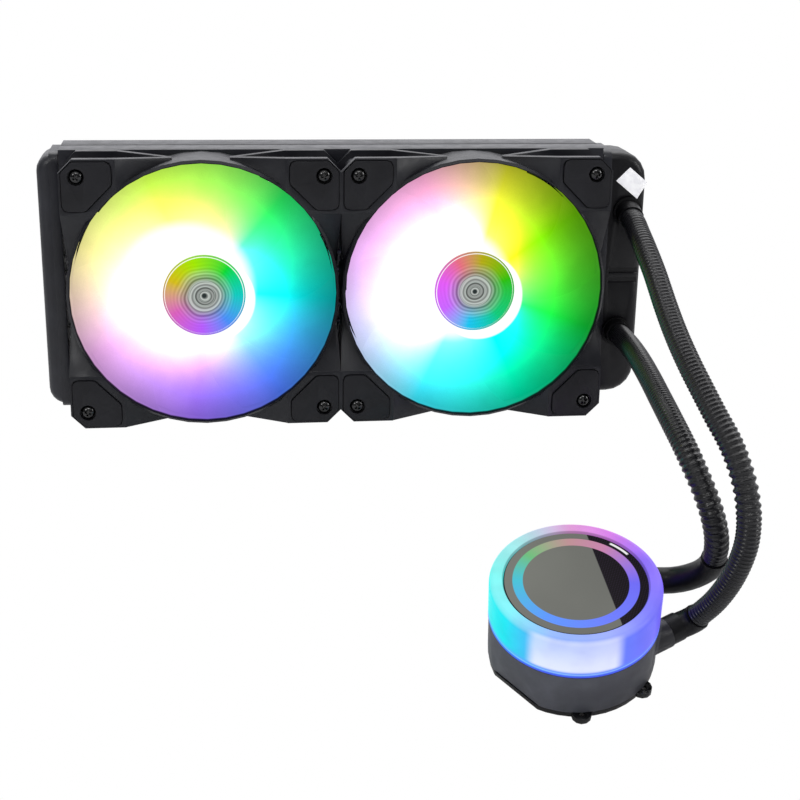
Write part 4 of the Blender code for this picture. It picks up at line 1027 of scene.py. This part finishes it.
def hose(name, route, ribs):
    """A ribbed hose along its route."""
    sides = HOSE_SIDES
    line, run = smooth_line(route, HOSE_STEP)
    ribs = np.array(ribs)
    pitch = np.interp(run, ribs[:, 0], ribs[:, 1])
    depth = np.interp(run, ribs[:, 0], ribs[:, 2])
    phase = np.concatenate([[0.0], np.cumsum(np.diff(run) / pitch[1:])])
    crest = (0.5 + 0.5 * np.cos(tau * phase)) ** RIB_CREST
    outer = 5.0 + 0.25 * np.clip((depth - 0.32) / 0.3, 0.0, 1.0)
    radius = outer - depth * (1.0 - crest)
    tangent = np.gradient(line, axis=0)
    tangent /= np.linalg.norm(tangent, axis=1, keepdims=True)
    side_axis = np.cross(tangent[0], (0.0, 0.0, 1.0))
    side_axis /= np.linalg.norm(side_axis)
    verts = []
    angles = np.linspace(0.0, tau, sides, endpoint=False)
    for here, ahead, r in zip(line, tangent, radius):
        side_axis = side_axis - ahead * np.dot(side_axis, ahead)
        side_axis /= np.linalg.norm(side_axis)
        other = np.cross(ahead, side_axis)
        for a in angles:
            verts.append(tuple(here + r * (cos(a) * side_axis + sin(a) * other)))
    faces = []
    for k in range(len(line) - 1):
        for i in range(sides):
            j = (i + 1) % sides
            faces.append((k * sides + i, k * sides + j, (k + 1) * sides + j, (k + 1) * sides + i))
    faces.append(tuple(range(sides)))
    faces.append(tuple((len(line) - 1) * sides + i for i in range(sides)))
    made = piece(name, verts, faces, LOOKS["hose_sleeve"], "cooler", "hose_sleeve", 80.0)
    return made


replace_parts(hose("outer_ribbed_hose", OUTER_ROUTE, OUTER_RIBS), "outer_hose")
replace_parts(hose("inner_ribbed_hose", INNER_ROUTE, INNER_RIBS), "inner_hose")


# Pump: lit ring and mirror disc
pump_rows = zip(PUMP_ALONG, PUMP_ACROSS, PUMP_UP, PUMP_BASE)
pump = Matrix([*pump_rows, (0.0, 0.0, 0.0, 1.0)])
ring = [
    (30.3, 46.3),
    (30.8, 46.8),
    (33.4, 46.8),
    *arc((33.4, 44.2), 2.6, 80, 0, 7),
    (36.0, 28.9),
    (35.75, 28.7),
    (35.75, 28.4),
    (36.0, 28.2),
    (36.0, 27.3),
    (35.7, 27.0),
    (33.3, 27.0),
    (33.3, 43.5),
    (30.3, 43.5),
]
diffuser_look = LOOKS["diffuser_plastic"]
turned = lathe(ring, PUMP_SIDES, pump)
made = piece("pump_lit_ring", *turned, diffuser_look, "cooler", "diffuser_plastic")
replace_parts(made, "pump_diffuser_ring")
disc = [(0.0, 46.0), (29.5, 46.0), (30.0, 45.5), (30.0, 44.0), (0.0, 44.0)]
mirror_look = LOOKS["dark_gloss_plastic"]
turned = lathe(disc, PUMP_SIDES, pump)
made = piece("pump_mirror_disc", *turned, mirror_look, "cooler", "dark_gloss_plastic")
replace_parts(made, "pump_top_disc")


# Bare white label on the hose tank, lifted a little at its right corner
LABEL_CORNERS = ((128.74, 97.27), (134.9, 103.4), (143.45, 96.43), (139.09, 88.84))
LABEL_FACE = -26.35
LABEL_THICK = 0.12
LABEL_STEPS = 14


def label():
    """Points and faces of the label between its corners, with a slight wave."""
    left, top, right, bottom = (np.array((x, 0.0, z)) for x, z in LABEL_CORNERS)
    front = np.zeros((LABEL_STEPS, LABEL_STEPS, 3))
    for i in range(LABEL_STEPS):
        for j in range(LABEL_STEPS):
            u, v = i / (LABEL_STEPS - 1), j / (LABEL_STEPS - 1)
            spot = left * (1 - u) * (1 - v) + top * (1 - u) * v + right * u * v + bottom * u * (1 - v)
            lift = 0.9 * max(0.0, u * v - 0.4) ** 1.5 + 0.12 + 0.12 * sin(7.0 * v + 3.0 * u)
            front[i, j] = (spot[0], LABEL_FACE - lift, spot[2])
    back = front + np.array([0.0, LABEL_THICK, 0.0])
    return grid_solid(front, back)


piece("bare_white_label", *label(), PAPER, "cooler", "frosted_plastic", 60.0)


# Dressing of the solids that are shown as they are: bevel widths in millimetres
PAD_BEVEL = 0.3
BEVELS = {
    "left_fan_frame": 0.35,
    "right_fan_frame": 0.35,
    "radiator_end_tank": 0.4,
    "radiator_hose_tank": 0.4,
    "radiator_top_channel": 0.3,
    "radiator_bottom_channel": 0.3,
    "radiator_left_header": 0.25,
    "radiator_right_header": 0.25,
    "pump_housing": 0.45,
    "pump_bracket": 0.35,
}
for name, node in nodes.items():
    mesh = node.data
    slot = mesh.materials[0].name.split(".")[0]
    mesh.materials.clear()
    mesh.materials.append(TONES.get(name, LOOKS[slot]))
    if "custom_normal" in mesh.attributes:
        mesh.attributes.remove(mesh.attributes["custom_normal"])
    mesh.polygons.foreach_set("use_smooth", [True] * len(mesh.polygons))
    weld = node.modifiers.new("weld", "WELD")
    weld.merge_threshold = 0.003 * MM
    width = PAD_BEVEL if "_pad_" in name else BEVELS.get(name, 0.0)
    if width:
        bevel = node.modifiers.new("edges", "BEVEL")
        bevel.width = width * MM
        bevel.segments = 2
        bevel.limit_method = "ANGLE"
        bevel.angle_limit = radians(50.0)
        bevel.use_clamp_overlap = True
        bevel.miter_outer = "MITER_ARC"
    split = node.modifiers.new("split", "EDGE_SPLIT")
    split.split_angle = radians(36.0)


# Stage
FLOOR_HALF = 4.0
FLOOR_DROP = 0.002
scene = bpy.context.scene
low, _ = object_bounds()
floor_mesh = bpy.data.meshes.new("floor")
level = low.z - FLOOR_DROP
corners = [(x * FLOOR_HALF, y * FLOOR_HALF, level) for x, y in ((-1, -1), (1, -1), (1, 1), (-1, 1))]
floor_mesh.from_pydata(corners, [], [(0, 1, 2, 3)])
floor = bpy.data.objects.new("floor", floor_mesh)
scene.collection.objects.link(floor)
look = Look("pale_floor")
seen = look.add("LightPath", {}).outputs["Is Camera Ray"]
pale = look.blend(look.noise(3.0), (0.60, 0.60, 0.605), (0.64, 0.64, 0.64))
white = look.add("Emission", {"Color": WHITE, "Strength": 1.0}).outputs[0]
matt = look.add("BsdfDiffuse", {"Color": pale}).outputs[0]
look.output(look.add("MixShader", {0: seen, 1: matt, 2: white}).outputs[0])
floor_mesh.materials.append(look.material)

world = bpy.data.worlds.new("studio")
world.use_nodes = True
scene.world = world
look = Look("studio", world.node_tree)
directions = look.add("SeparateXYZ", {0: look.add("TexCoord", {}).outputs["Generated"]})
_, depth_way, rise = directions.outputs
sky_stops = [
    (0.0, (0.06, 0.06, 0.06)),
    (0.5, (0.10, 0.10, 0.102)),
    (0.7, (0.2, 0.2, 0.202)),
    (1.0, (0.6, 0.6, 0.6)),
]
sky = look.ramp(look.between(rise, -1.0, 1.0, 0.0, 1.0, False), sky_stops)
behind = look.product(look.between(depth_way, -0.1, 0.75), look.between(rise, -0.15, 0.12))
sky = look.blend(behind, sky, (1.08, 1.08, 1.12))
seen = look.add("LightPath", {}).outputs["Is Camera Ray"]
ambient = look.add("Background", {"Color": sky, "Strength": 1.0}).outputs[0]
backdrop = look.add("Background", {"Color": WHITE, "Strength": 1.0}).outputs[0]
look.output(look.add("MixShader", {0: seen, 1: ambient, 2: backdrop}).outputs[0])


def lamp(name, place, target, size, power):
    """A rectangular light that points from its place to its target, both in metres."""
    data = bpy.data.lights.new(name, "AREA")
    data.shape = "RECTANGLE"
    data.size, data.size_y = size
    data.energy = power
    obj = bpy.data.objects.new(name, data)
    obj.location = place
    obj.rotation_euler = (Vector(target) - Vector(place)).to_track_quat("-Z", "Y").to_euler()
    obj.visible_camera = False
    scene.collection.objects.link(obj)


lamp("top_light", (0.1, 0.55, 1.05), (0.0, -0.05, 0.0), (1.6, 0.9), 9.0)
lamp("front_light", (-0.9, -1.1, 0.8), (0.0, -0.05, 0.0), (0.35, 0.35), 2.6)
lamp("right_light", (1.2, -0.5, 0.5), (0.1, -0.1, 0.0), (0.25, 0.5), 2.4)
lamp("strip_light", (0.0, -0.85, 1.05), (0.0, -0.05, 0.0), (0.7, 0.08), 1.6)

# Camera
camera_data = bpy.data.cameras.new("camera")
camera_data.lens = LENS
camera_data.sensor_width = 36.0
camera_data.clip_start = 0.01
camera_data.dof.use_dof = False
camera = bpy.data.objects.new("camera", camera_data)
scene.collection.objects.link(camera)
scene.camera = camera
azimuth, elevation, roll = radians(AZIMUTH), radians(ELEVATION), radians(ROLL)
forward = Vector((-sin(azimuth) * cos(elevation), cos(azimuth) * cos(elevation), -sin(elevation)))
right = forward.cross(Vector((0.0, 0.0, 1.0))).normalized()
up = right.cross(forward)
turned_right = right * cos(roll) + up * sin(roll)
turned_up = up * cos(roll) - right * sin(roll)
rotation = Matrix((turned_right, turned_up, -forward)).transposed()
camera.matrix_world = Matrix.Translation(Vector(mm(EYE))) @ rotation.to_4x4()

scene.view_settings.view_transform = "Standard"
